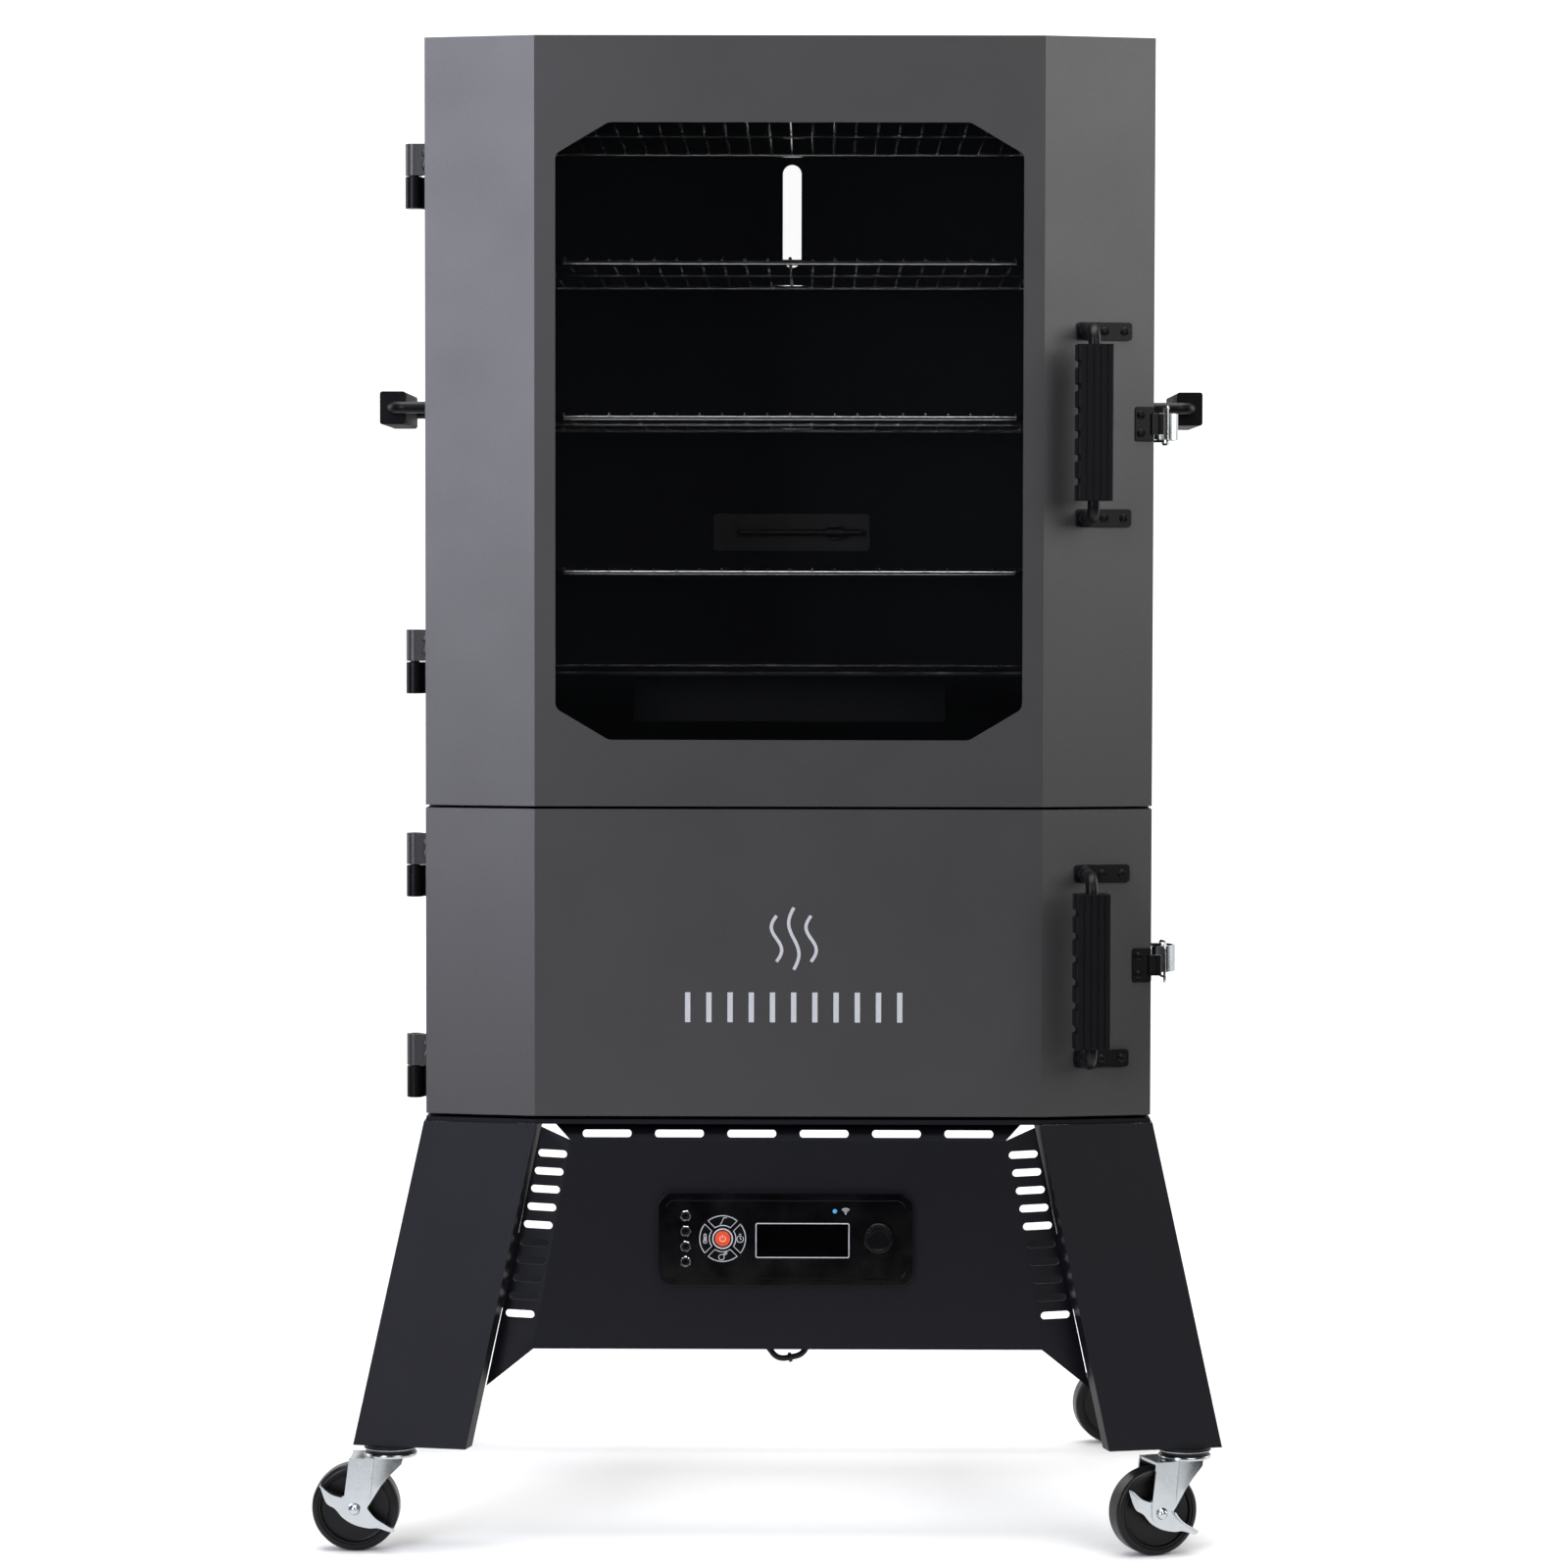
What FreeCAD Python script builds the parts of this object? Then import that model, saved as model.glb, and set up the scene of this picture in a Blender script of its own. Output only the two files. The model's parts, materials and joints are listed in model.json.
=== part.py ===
import FreeCAD, Part
import Sketcher

import math
import os

# Electric cabinet smoker, millimetres, +Z up, +X to the right as seen from the front, front at -Y.
# The origin is on the floor under the middle of the cabinet.

os.makedirs("parts", exist_ok=True)
doc = FreeCAD.newDocument("CabinetSmoker")
Vector = FreeCAD.Vector
Rotation = FreeCAD.Rotation
Placement = FreeCAD.Placement

DIMENSIONS = {
    # cabinet and doors
    "sheetThick": 2.0,
    "cabinetHalf": 316.0,
    "cabinetFront": -195.0,
    "cabinetBack": 245.0,
    "cabinetLow": 373.0,
    "floorThick": 4.0,
    "cabinetTop": 1310.5,
    "frameReveal": 30.0,
    "doorFront": -255.0,
    "doorBack": -199.0,
    "foldHalf": 220.0,
    "facetDeep": 20.0,
    "upperLow": 649.5,
    "upperTop": 1313.5,
    "lowerLow": 380.0,
    "lowerTop": 647.0,
    "windowHalf": 202.0,
    "windowLow": 707.0,
    "windowTop": 1239.0,
    "windowCutWide": 46.0,
    "windowCutTall": 27.3,
    "windowRound": 8.0,
    "glassThick": 4.0,
    "glassLap": 11.0,
    "tunnelLap": 5.0,
    "linerInset": 4.0,
    "gasketWide": 8.0,
    "gasketThick": 3.6,
    # vent slot in the back
    "ventWide": 18.0,
    "ventLow": 1147.0,
    "ventTop": 1246.0,
    # hinges
    "hingeRadius": 7.5,
    "hingeOut": 12.5,
    "hingeHalfTall": 28.0,
    "hingeGap": 1.0,
    "pinRadius": 4.0,
    "pinFit": 0.1,
    "pinTall": 24.0,
    "leafThick": 3.0,
    "leafLong": 24.0,
    "hingeWeb": 5.2,
    # handles
    "handleSpan": 161.0,
    "handleOut": 56.0,
    "handleRod": 5.4,
    "handleBend": 13.0,
    "bossTall": 18.0,
    "handleLean": 3.7,
    "footWide": 49.0,
    "footTall": 15.5,
    "footThick": 3.5,
    "footRodInset": 9.0,
    "gripTall": 133.0,
    "gripWide": 31.0,
    "gripDeep": 24.0,
    "gripRound": 3.0,
    "notchCount": 6,
    "notchDeep": 3.0,
    "notchOpen": 7.0,
    "notchFloor": 4.6,
    "upperHandleAt": 980.0,
    "lowerHandleAt": 511.0,
    "doorHandleAcross": 256.5,
    "sideHandleAt": 1005.0,
    "sideHandleBack": 140.0,
    "screwRadius": 3.6,
    "screwTall": 2.4,
    # latches
    "upperLatchAt": 981.0,
    "lowerLatchAt": 511.0,
    # racks
    "rackHalf": 296.0,
    "rackFrontHalf": 204.0,
    "rackFront": -150.0,
    "rackCorner": -92.0,
    "rackBack": 216.0,
    "rackRod": 2.6,
    "rackWire": 1.5,
    "rackPitch": 20.0,
    "rackLap": 0.5,
    "railWide": 20.0,
    # stand
    "standTop": 373.0,
    "legLow": 93.0,
    "legSplaySide": 60.0,
    "legSplayFront": 27.0,
    "legPlate": 3.0,
    "apronFront": -262.0,
    "apronTopHalf": 188.7,
    "apronLowHalf": 221.0,
    "apronFold": 359.7,
    "apronLow": 177.5,
    "bezelCentre": -1.8,
    "bezelHigh": 274.0,
    "bezelWide": 220.0,
    "bezelTall": 80.0,
    "bezelThick": 6.0,
    "bezelRound": 12.0,
    # casters
    "swivelSide": 346.0,
    "swivelFront": -254.0,
    "swivelRear": 262.0,
    "wheelRadius": 38.1,
    "wheelWide": 24.0,
    "casterTrail": 30.0,
    "axleRadius": 4.0,
}

sheet = doc.addObject("Spreadsheet::Sheet", "Dimensions")
for row, (alias, value) in enumerate(DIMENSIONS.items(), start=1):
    sheet.set(f"A{row}", alias)
    sheet.set(f"B{row}", str(value))
    sheet.setAlias(f"B{row}", alias)
doc.recompute()


def size(alias):
    """One driving dimension, read from the sheet."""
    return float(sheet.get(alias))


def formula(text):
    """A formula in the sheet's aliases, as FreeCAD's expression engine reads it."""
    words = []
    word = ""
    for letter in str(text) + " ":
        if letter.isalpha():
            word += letter
            continue
        words.append("Dimensions." + word if word in DIMENSIONS else word)
        words.append(letter)
        word = ""
    return "".join(words).strip()


subparts = []


def keep(item, label):
    """Names a finished sub-part and puts it on the list of files to write."""
    item.Label = label
    subparts.append(item)
    return item


def name_of(label, kind):
    return f"{label}_{kind}"


# ---------------------------------------------------------------- building blocks


def block(name, x, y, z):
    """A box between two formulas on each axis."""
    item = doc.addObject("Part::Box", name)
    for side, at, (low, high) in (("Length", "x", x), ("Width", "y", y), ("Height", "z", z)):
        item.setExpression(side, formula(f"({high}) - ({low})"))
        item.setExpression(f"Placement.Base.{at}", formula(low))
    return item


ALONG = {
    "X": Rotation(Vector(0, 1, 0), 90),
    "Y": Rotation(Vector(1, 0, 0), -90),
    "Z": Rotation(),
}


def rod(name, radius, along, start, length):
    """A cylinder from a start point along an axis, all in formulas."""
    item = doc.addObject("Part::Cylinder", name)
    item.Placement = Placement(Vector(), ALONG[along])
    item.setExpression("Radius", formula(radius))
    item.setExpression("Height", formula(length))
    for at, low in zip("xyz", start):
        item.setExpression(f"Placement.Base.{at}", formula(low))
    return item


def joined(name, items):
    item = doc.addObject("Part::MultiFuse", name)
    item.Shapes = list(items)
    return item


def carved(name, base, tools):
    tools = list(tools)
    item = doc.addObject("Part::Cut", name)
    item.Base = base
    item.Tool = tools[0] if len(tools) == 1 else joined(name_of(name, "tools"), tools)
    return item


def grouped(name, items):
    item = doc.addObject("Part::Compound", name)
    item.Links = list(items)
    return item


def shaped(name, shape, placement=None):
    """A sub-part whose shape comes from Part's own functions."""
    item = doc.addObject("Part::Feature", name)
    item.Shape = shape
    if placement is not None:
        item.Placement = placement
    return item


def origin_plane(body, role):
    return next(item for item in body.Origin.OriginFeatures if item.Role == role)


def outline_sketch(body, name, role, loops, offset=None):
    """A sketch of closed straight-sided loops; every corner is held by two formulas."""
    sketch = body.newObject("Sketcher::SketchObject", name)
    sketch.AttachmentSupport = [(origin_plane(body, role), "")]
    sketch.MapMode = "FlatFace"
    if offset is not None:
        sketch.setExpression("AttachmentOffset.Base.z", formula(offset))
    for loop in loops:
        first = sketch.GeometryCount
        count = len(loop)
        spots = [Vector(*(worked_out(text) for text in corner), 0) for corner in loop]
        for i in range(count):
            sketch.addGeometry(Part.LineSegment(spots[i], spots[(i + 1) % count]), False)
        for i in range(count):
            after = first + (i + 1) % count
            sketch.addConstraint(Sketcher.Constraint("Coincident", first + i, 2, after, 1))
        for i, corner in enumerate(loop):
            for kind, text, at in (
                ("DistanceX", corner[0], spots[i].x),
                ("DistanceY", corner[1], spots[i].y),
            ):
                number = sketch.addConstraint(Sketcher.Constraint(kind, -1, 1, first + i, 1, at))
                sketch.setExpression(f"Constraints[{number}]", formula(text))
    return sketch


def worked_out(text):
    """The present value of a formula, for a sketch's first draft."""
    return float(sheet.evalExpression(formula(text).replace("Dimensions.", "")))


def padded_body(name, role, loops, length, offset=None):
    """A PartDesign body: closed loops padded by a length."""
    body = doc.addObject("PartDesign::Body", name)
    sketch = outline_sketch(body, name_of(name, "outline"), role, loops, offset)
    pad = body.newObject("PartDesign::Pad", name_of(name, "pad"))
    pad.Profile = sketch
    pad.setExpression("Length", formula(length))
    doc.recompute()
    return body


def pocket(body, name, role, loops, length, offset, reverse):
    """Cuts closed loops out of a body, and makes sure that something was cut."""
    before = body.Shape.Volume
    sketch = outline_sketch(body, name_of(name, "outline"), role, loops, offset)
    cut = body.newObject("PartDesign::Pocket", name)
    cut.Profile = sketch
    cut.Reversed = reverse
    cut.setExpression("Length", formula(length))
    doc.recompute()
    if body.Shape.Volume > before - 1:
        raise RuntimeError(f"{name} cut nothing")
    return cut


def round_edges(body, name, radius, chosen):
    """Rounds the edges of a body that the test picks."""
    base = body.Tip
    names = [f"Edge{i}" for i, edge in enumerate(base.Shape.Edges, start=1) if chosen(edge)]
    fillet = body.newObject("PartDesign::Fillet", name)
    fillet.Base = (base, names)
    fillet.setExpression("Radius", formula(radius))
    doc.recompute()
    return fillet


def runs_along(edge, axis):
    ends = [vertex.Point for vertex in edge.Vertexes]
    if len(ends) != 2:
        return False
    step = ends[1] - ends[0]
    return abs(abs(getattr(step, axis)) - step.Length) < 1e-6


def rectangle(x, y):
    return [(x[0], y[0]), (x[1], y[0]), (x[1], y[1]), (x[0], y[1])]


def window_loop(half, low, top, wide, tall):
    """A rectangle with its four corners cut off, as (x, z) formulas."""
    right = [
        (f"({half}) - ({wide})", low),
        (half, f"({low}) + ({tall})"),
        (half, f"({top}) - ({tall})"),
        (f"({half}) - ({wide})", top),
    ]
    left = [(f"-({x})", z) for x, z in reversed(right)]
    return right + left


def pipe(points, bend, radius):
    """A round bar along straight runs joined by tangent arcs."""
    edges = []
    start = points[0]
    for i in range(1, len(points) - 1):
        before = (points[i - 1] - points[i]).normalize()
        after = (points[i + 1] - points[i]).normalize()
        half = before.getAngle(after) / 2
        reach = bend / math.tan(half)
        enter = points[i] + before * reach
        leave = points[i] + after * reach
        middle = (before + after).normalize()
        top = points[i] + middle * (bend / math.sin(half) - bend)
        edges.append(Part.LineSegment(start, enter).toShape())
        edges.append(Part.Arc(enter, top, leave).toShape())
        start = leave
    edges.append(Part.LineSegment(start, points[-1]).toShape())
    path = Part.Wire(edges)
    section = Part.Wire([Part.makeCircle(radius, points[0], points[1] - points[0])])
    return path.makePipeShell([section], True, False)


def placed(shape, placement):
    copy = shape.copy()
    copy.Placement = placement.multiply(copy.Placement)
    return copy


# ---------------------------------------------------------------- cabinet


SIDES = (("left", -1), ("right", 1))
RACK_HEIGHTS = (1253.5, 1125.7, 988.5, 851.4)
TRAY_HEIGHT = 762.5
HINGE_SPLITS = {"upper": (773.5, 1197.0), "lower": (418.0, 595.0)}


def facet_y(x, inset):
    """Formula of the tilted facet's Y at x, for a face that lies inset behind the outer one."""
    slope = "(facetDeep / (cabinetHalf - foldHalf))"
    return f"doorFront + ({inset}) * sqrt(1 + {slope} ^ 2) + (({x}) - foldHalf) * {slope}"


def door_loop(inset, back):
    """The door's outline seen from above, inset from its outer faces."""
    slope = "(facetDeep / (cabinetHalf - foldHalf))"
    fold = f"foldHalf - ({inset}) * (sqrt(1 + {slope} ^ 2) - 1) / {slope}"
    side = f"cabinetHalf - ({inset})"
    right = [(fold, f"doorFront + ({inset})"), (side, facet_y(side, inset)), (side, back)]
    left = [(f"-({x})", y) for x, y in reversed(right)]
    return right + left


def make_sides():
    for side, sign in SIDES:
        outer, inner = f"{sign} * cabinetHalf", f"{sign} * (cabinetHalf - sheetThick)"
        span = sorted((outer, inner), key=worked_out)
        label = f"cabinet_side_{side}"
        wall = block(
            name_of(label, "wall"),
            span,
            ("cabinetFront + sheetThick", "cabinetBack"),
            ("cabinetLow + floorThick", "cabinetTop - sheetThick"),
        )
        rails = []
        for i, height in enumerate(RACK_HEIGHTS + (TRAY_HEIGHT,), start=1):
            low = f"{height} - rackRod"
            shelf = sorted((inner, f"{sign} * (cabinetHalf - railWide)"), key=worked_out)
            rails.append(
                block(
                    name_of(label, f"rail{i}"),
                    shelf,
                    ("rackCorner", "rackBack"),
                    (f"{low} - sheetThick", low),
                )
            )
        keep(joined(label, [wall] + rails), label)


def make_back():
    wall = block(
        "cabinet_back_wall",
        ("-cabinetHalf + sheetThick", "cabinetHalf - sheetThick"),
        ("cabinetBack - sheetThick", "cabinetBack"),
        ("cabinetLow + floorThick", "cabinetTop - sheetThick"),
    )
    through = ("cabinetBack - 2 * sheetThick", "cabinetBack + sheetThick")
    middle = block(
        "vent_middle",
        ("-ventWide / 2", "ventWide / 2"),
        through,
        ("ventLow + ventWide / 2", "ventTop - ventWide / 2"),
    )
    ends = [
        rod(f"vent_end_{i}", "ventWide / 2", "Y", ("0", through[0], height), "3 * sheetThick")
        for i, height in enumerate(("ventLow + ventWide / 2", "ventTop - ventWide / 2"))
    ]
    keep(carved("cabinet_back", wall, [middle] + ends), "cabinet_back")


def make_top_and_floor():
    """The floor carries on under the doors, with their outline, and stands on the legs."""
    across = ("-cabinetHalf", "cabinetHalf")
    deep = ("cabinetFront", "cabinetBack")
    keep(block("cabinet_top", across, deep, ("cabinetTop - sheetThick", "cabinetTop")), "cabinet_top")
    floor = padded_body(
        "cabinet_floor", "XY_Plane", [door_loop("0", "cabinetBack")], "floorThick", "cabinetLow"
    )
    keep(floor, "cabinet_floor")


def make_front_frame():
    """The flat frame that both doors close against."""
    reveal = "cabinetHalf - frameReveal"
    loops = [
        rectangle(
            ("-cabinetHalf", "cabinetHalf"), ("cabinetLow + floorThick", "cabinetTop - sheetThick")
        ),
        rectangle((f"-({reveal})", reveal), ("upperLow + frameReveal - 8", "upperTop - frameReveal - 3")),
        rectangle((f"-({reveal})", reveal), ("lowerLow + frameReveal - 8", "lowerTop - frameReveal + 8")),
    ]
    frame = padded_body("front_frame", "XZ_Plane", loops, "sheetThick", "-cabinetFront - sheetThick")
    keep(frame, "front_frame")


def gasket_loop(name, low, top):
    reach = "cabinetHalf - frameReveal + 4"
    deep = ("cabinetFront - gasketThick", "cabinetFront")
    outer = block(
        name_of(name, "outer"),
        (f"-({reach}) - gasketWide", f"{reach} + gasketWide"),
        deep,
        (f"{low} - gasketWide", f"{top} + gasketWide"),
    )
    hole = block(
        name_of(name, "hole"),
        (f"-({reach})", reach),
        ("cabinetFront - 2 * gasketThick", "cabinetFront + gasketThick"),
        (low, top),
    )
    return carved(name, outer, [hole])


def make_gaskets():
    upper = gasket_loop("upper_gasket", "upperLow + frameReveal - 12", "upperTop - frameReveal + 1")
    lower = gasket_loop("lower_gasket", "lowerLow + frameReveal - 12", "lowerTop - frameReveal + 12")
    keep(grouped("door_gaskets", [upper, lower]), "door_gaskets")


def make_cabinet_hinges():
    """The fixed halves: knuckle, leaf and the pin that each door half drops onto."""
    halves = []
    axis = ("-cabinetHalf - hingeOut", "(doorBack + cabinetFront) / 2")
    for door, splits in HINGE_SPLITS.items():
        for i, split in enumerate(splits):
            name = f"fixed_hinge_{door}_{i}"
            low = f"{split} - hingeHalfTall"
            tall = "hingeHalfTall - hingeGap / 2"
            barrel = rod(name_of(name, "barrel"), "hingeRadius", "Z", axis + (low,), tall)
            pin = rod(name_of(name, "pin"), "pinRadius", "Z", axis + (low,), f"{tall} + pinTall")
            leaf = block(
                name_of(name, "leaf"),
                ("-cabinetHalf - leafThick", "-cabinetHalf"),
                ("cabinetFront + 1.5", "cabinetFront + leafLong"),
                (low, f"{low} + {tall}"),
            )
            web = block(
                name_of(name, "web"),
                (axis[0], "-cabinetHalf"),
                ("cabinetFront + 0.3", "cabinetFront + 0.3 + hingeWeb"),
                (low, f"{low} + {tall}"),
            )
            halves.append(joined(name, [barrel, pin, leaf, web]))
    keep(grouped("cabinet_hinges", halves), "cabinet_hinges")


# ---------------------------------------------------------------- doors


def door_hinge_halves(door):
    """Solids and bores of a door's two welded-on hinge halves."""
    axis = ("-cabinetHalf - hingeOut", "(doorBack + cabinetFront) / 2")
    solids = []
    bores = []
    for i, split in enumerate(HINGE_SPLITS[door]):
        name = f"door_hinge_{door}_{i}"
        low = f"{split} + hingeGap / 2"
        tall = "hingeHalfTall - hingeGap / 2"
        solids.append(rod(name_of(name, "barrel"), "hingeRadius", "Z", axis + (low,), tall))
        solids.append(
            block(
                name_of(name, "web"),
                (axis[0], "-cabinetHalf + 0.5"),
                ("doorBack - 0.2 - hingeWeb", "doorBack - 0.2"),
                (low, f"{low} + {tall}"),
            )
        )
        bores.append(
            rod(
                name_of(name, "bore"),
                "pinRadius + pinFit",
                "Z",
                axis + (f"{low} - 1",),
                "hingeHalfTall + 2",
            )
        )
    return solids, bores


def door_relief(door):
    """Keeps the door's hinge leaves out of the cabinet's side of the parting plane."""
    return block(
        f"{door}_door_relief",
        ("-cabinetHalf - 0.4", "-cabinetHalf + 0.6"),
        ("doorBack", "cabinetFront"),
        (f"{door}Low", f"{door}Top"),
    )


def make_door_panel(door):
    low, top = f"{door}Low", f"{door}Top"
    shell = padded_body(
        f"{door}_door_shell", "XY_Plane", [door_loop("0", "doorBack")], f"{top} - {low}", low
    )
    pocket(
        shell,
        f"{door}_door_hollow",
        "XY_Plane",
        [door_loop("sheetThick", "doorBack + 1")],
        f"{top} - {low} - 2 * sheetThick",
        f"{low} + sheetThick",
        True,
    )
    if door == "upper":
        window = window_loop("windowHalf", "windowLow", "windowTop", "windowCutWide", "windowCutTall")
        pocket(shell, "window_opening", "XZ_Plane", [window], "20", "-doorFront + 5", False)
        round_edges(
            shell,
            "window_corners",
            "windowRound",
            lambda edge: runs_along(edge, "y")
            and abs(edge.Length - size("sheetThick")) < 0.01
            and abs(edge.Vertexes[0].Point.x) < size("windowHalf") + 0.1
            and edge.Vertexes[0].Point.z < size("windowTop") + 0.1
            and edge.Vertexes[0].Point.z > size("windowLow") - 0.1,
        )
    solids, bores = door_hinge_halves(door)
    whole = joined(f"{door}_door_welded", [shell] + solids)
    panel = carved(f"{door}_door_panel", whole, bores + [door_relief(door)])
    keep(panel, f"{door}_door_panel")


def make_door_liner(door):
    """The flat inner sheet; the upper one is folded forward around the window to hold the glass."""
    edge = "cabinetHalf - sheetThick - linerInset"
    outline = rectangle(
        (f"-({edge})", edge), (f"{door}Low + sheetThick + 1", f"{door}Top - sheetThick - 1")
    )
    if door == "lower":
        keep(
            padded_body("lower_door_liner", "XZ_Plane", [outline], "sheetThick", "-doorBack"),
            "lower_door_liner",
        )
        return
    half = "windowHalf + tunnelLap"
    across = (f"-({half})", half)
    tall = ("windowLow - tunnelLap", "windowTop + tunnelLap")
    body = padded_body(
        "upper_liner_sheet", "XZ_Plane", [outline, rectangle(across, tall)], "sheetThick", "-doorBack"
    )
    front = "doorFront + sheetThick + glassThick"
    outer = block(
        "window_tunnel_outer",
        (f"-({half}) - sheetThick", f"{half} + sheetThick"),
        (front, "doorBack"),
        (f"{tall[0]} - sheetThick", f"{tall[1]} + sheetThick"),
    )
    hole = block("window_tunnel_hole", across, (f"{front} - 1", "doorBack + 1"), tall)
    tunnel = carved("window_tunnel", outer, [hole])
    keep(joined("upper_door_liner", [body, tunnel]), "upper_door_liner")


def make_glass():
    half = "windowHalf + glassLap"
    loops = [rectangle((f"-({half})", half), ("windowLow - glassLap", "windowTop + glassLap"))]
    glass = padded_body(
        "window_glass", "XZ_Plane", loops, "glassThick", "-doorFront - sheetThick - glassThick"
    )
    keep(glass, "window_glass")


# ---------------------------------------------------------------- handles


def handle_bar(tilt):
    """The bent bar with a screwed foot at each end, in its own frame: grip along Z, out along -Y.

    The surface that the feet stand on is turned by tilt about Z.
    """
    half = size("handleSpan") / 2
    out = size("handleOut")
    thick = size("footThick")
    points = [
        Vector(0, -1, half),
        Vector(0, -out, half),
        Vector(0, -out, -half),
        Vector(0, -1, -half),
    ]
    solids = [pipe(points, size("handleBend"), size("handleRod"))]
    turn = Placement(Vector(), Rotation(Vector(0, 0, 1), tilt))
    for end in (-1, 1):
        foot = Part.makeBox(
            size("footWide"),
            thick,
            size("footTall"),
            Vector(-size("footRodInset"), -thick, end * half - size("footTall") / 2),
        )
        corners = [edge for edge in foot.Edges if runs_along(edge, "y")]
        foot = placed(foot.makeFillet(3, corners), turn)
        boss = Part.makeCone(
            size("footTall") / 2,
            size("handleRod") + 0.6,
            size("bossTall"),
            Vector(0, -1, end * half),
            Vector(0, -1, 0),
        )
        solids += [foot, boss]
    whole = solids[0].fuse(solids[1:])
    behind = Part.makeBox(60, 30, 2 * half + 60, Vector(-30, 0, -half - 30))
    return whole.cut(placed(behind, turn)).removeSplitter()


def handle_grip():
    """The moulded grip around the bar: grooved face, and teeth along the side for the fingers."""
    wide, deep, tall = size("gripWide"), size("gripDeep"), size("gripTall")
    out = size("handleOut")
    grip = Part.makeBox(wide, deep, tall, Vector(-wide / 2, -out - deep / 2, -tall / 2))
    corners = [edge for edge in grip.Edges if runs_along(edge, "z")]
    grip = grip.makeFillet(size("gripRound"), corners)
    notches = int(size("notchCount"))
    deepness, open_wide, floor_wide = size("notchDeep"), size("notchOpen"), size("notchFloor")
    pitch = (tall + open_wide) / (notches + 1)
    tools = []
    for i in range(notches):
        middle = (i + 1) * pitch - open_wide / 2 - tall / 2
        profile = [
            Vector(-wide / 2 - 1, -out - deep, middle - open_wide / 2 - 0.4),
            Vector(-wide / 2 - 1, -out - deep, middle + open_wide / 2 + 0.4),
            Vector(-wide / 2 + deepness, -out - deep, middle + floor_wide / 2),
            Vector(-wide / 2 + deepness, -out - deep, middle - floor_wide / 2),
        ]
        tools.append(Part.Face(Part.makePolygon(profile + [profile[0]])).extrude(Vector(0, 2 * deep, 0)))
    groove = Part.makeBox(1.4, 1.2, tall + 2, Vector(0, -out - deep / 2 - 0.01, -tall / 2 - 1))
    for offset in (-8.6, -2.6, 3.4, 9.4):
        tools.append(placed(groove, Placement(Vector(offset, 0, 0), Rotation())))
    tools.append(Part.makeCylinder(size("handleRod"), tall + 2, Vector(0, -out, -tall / 2 - 1)))
    return grip.cut(tools)


def pan_screw(at, direction):
    """A domed screw head standing on a surface."""
    radius, tall = size("screwRadius"), size("screwTall")
    head = Part.makeCylinder(radius, tall * 0.5, at, direction)
    dome = Part.makeCone(radius, radius * 0.55, tall * 0.5, at + direction * (tall * 0.5), direction)
    return head.fuse(dome)


def foot_screw_spots():
    """Where the four foot screws of a handle stand, in the handle's frame."""
    half = size("handleSpan") / 2
    inset = size("footRodInset")
    wide = size("footWide")
    return [
        Vector(across, -size("footThick"), end * half)
        for end in (-1, 1)
        for across in (wide * 0.5 - inset, wide * 0.86 - inset)
    ]


def facet_angle():
    """The tilt of a door's side facet, in degrees."""
    return math.degrees(math.atan2(size("facetDeep"), size("cabinetHalf") - size("foldHalf")))


def facet_place(x, z):
    """The frame of something that stands on the right facet of a door."""
    y = worked_out(facet_y(str(x), "0"))
    return Placement(Vector(x, y, z), Rotation(Vector(0, 0, 1), facet_angle()))


def door_handle_place(door):
    """Where the handle's frame stands on the facet: it points nearly straight forward."""
    where = facet_place(size("doorHandleAcross"), size(f"{door}HandleAt"))
    return Placement(where.Base, Rotation(Vector(0, 0, 1), size("handleLean")))


def side_handle_place(sign):
    """Grip along depth, out sideways."""
    at = Vector(sign * size("cabinetHalf"), size("sideHandleBack"), size("sideHandleAt"))
    out = Vector(sign, 0, 0)
    along = Vector(0, 1, 0)
    local_y = out * -1
    local_x = local_y.cross(along)
    matrix = FreeCAD.Matrix(
        local_x.x, local_y.x, along.x, 0,
        local_x.y, local_y.y, along.y, 0,
        local_x.z, local_y.z, along.z, 0,
        0, 0, 0, 1,
    )
    return Placement(at, Placement(matrix).Rotation)


def make_handles():
    bar = handle_bar(facet_angle() - size("handleLean"))
    side_bar = handle_bar(0)
    grip = handle_grip()
    for door in ("upper", "lower"):
        where = door_handle_place(door)
        keep(shaped(f"{door}_handle_bar", bar, where), f"{door}_handle_bar")
        keep(shaped(f"{door}_handle_grip", grip, where), f"{door}_handle_grip")
    sides = [side_handle_place(sign) for _, sign in SIDES]
    bars = Part.makeCompound([placed(side_bar, where) for where in sides])
    grips = Part.makeCompound([placed(grip, where) for where in sides])
    keep(shaped("side_handle_bars", bars), "side_handle_bars")
    keep(shaped("side_handle_grips", grips), "side_handle_grips")


# ---------------------------------------------------------------- latches


KEEPER_INSET = 8.0
KEEPER_TALL = 30.0
BARREL_RADIUS = 3.2
LATCH_PIVOT = (9.0, -172.0)
BAIL_RADIUS = 1.1
LEVER_HALF = 11.5


def keeper_place(height):
    return facet_place(size("cabinetHalf") - KEEPER_INSET, height)


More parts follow.
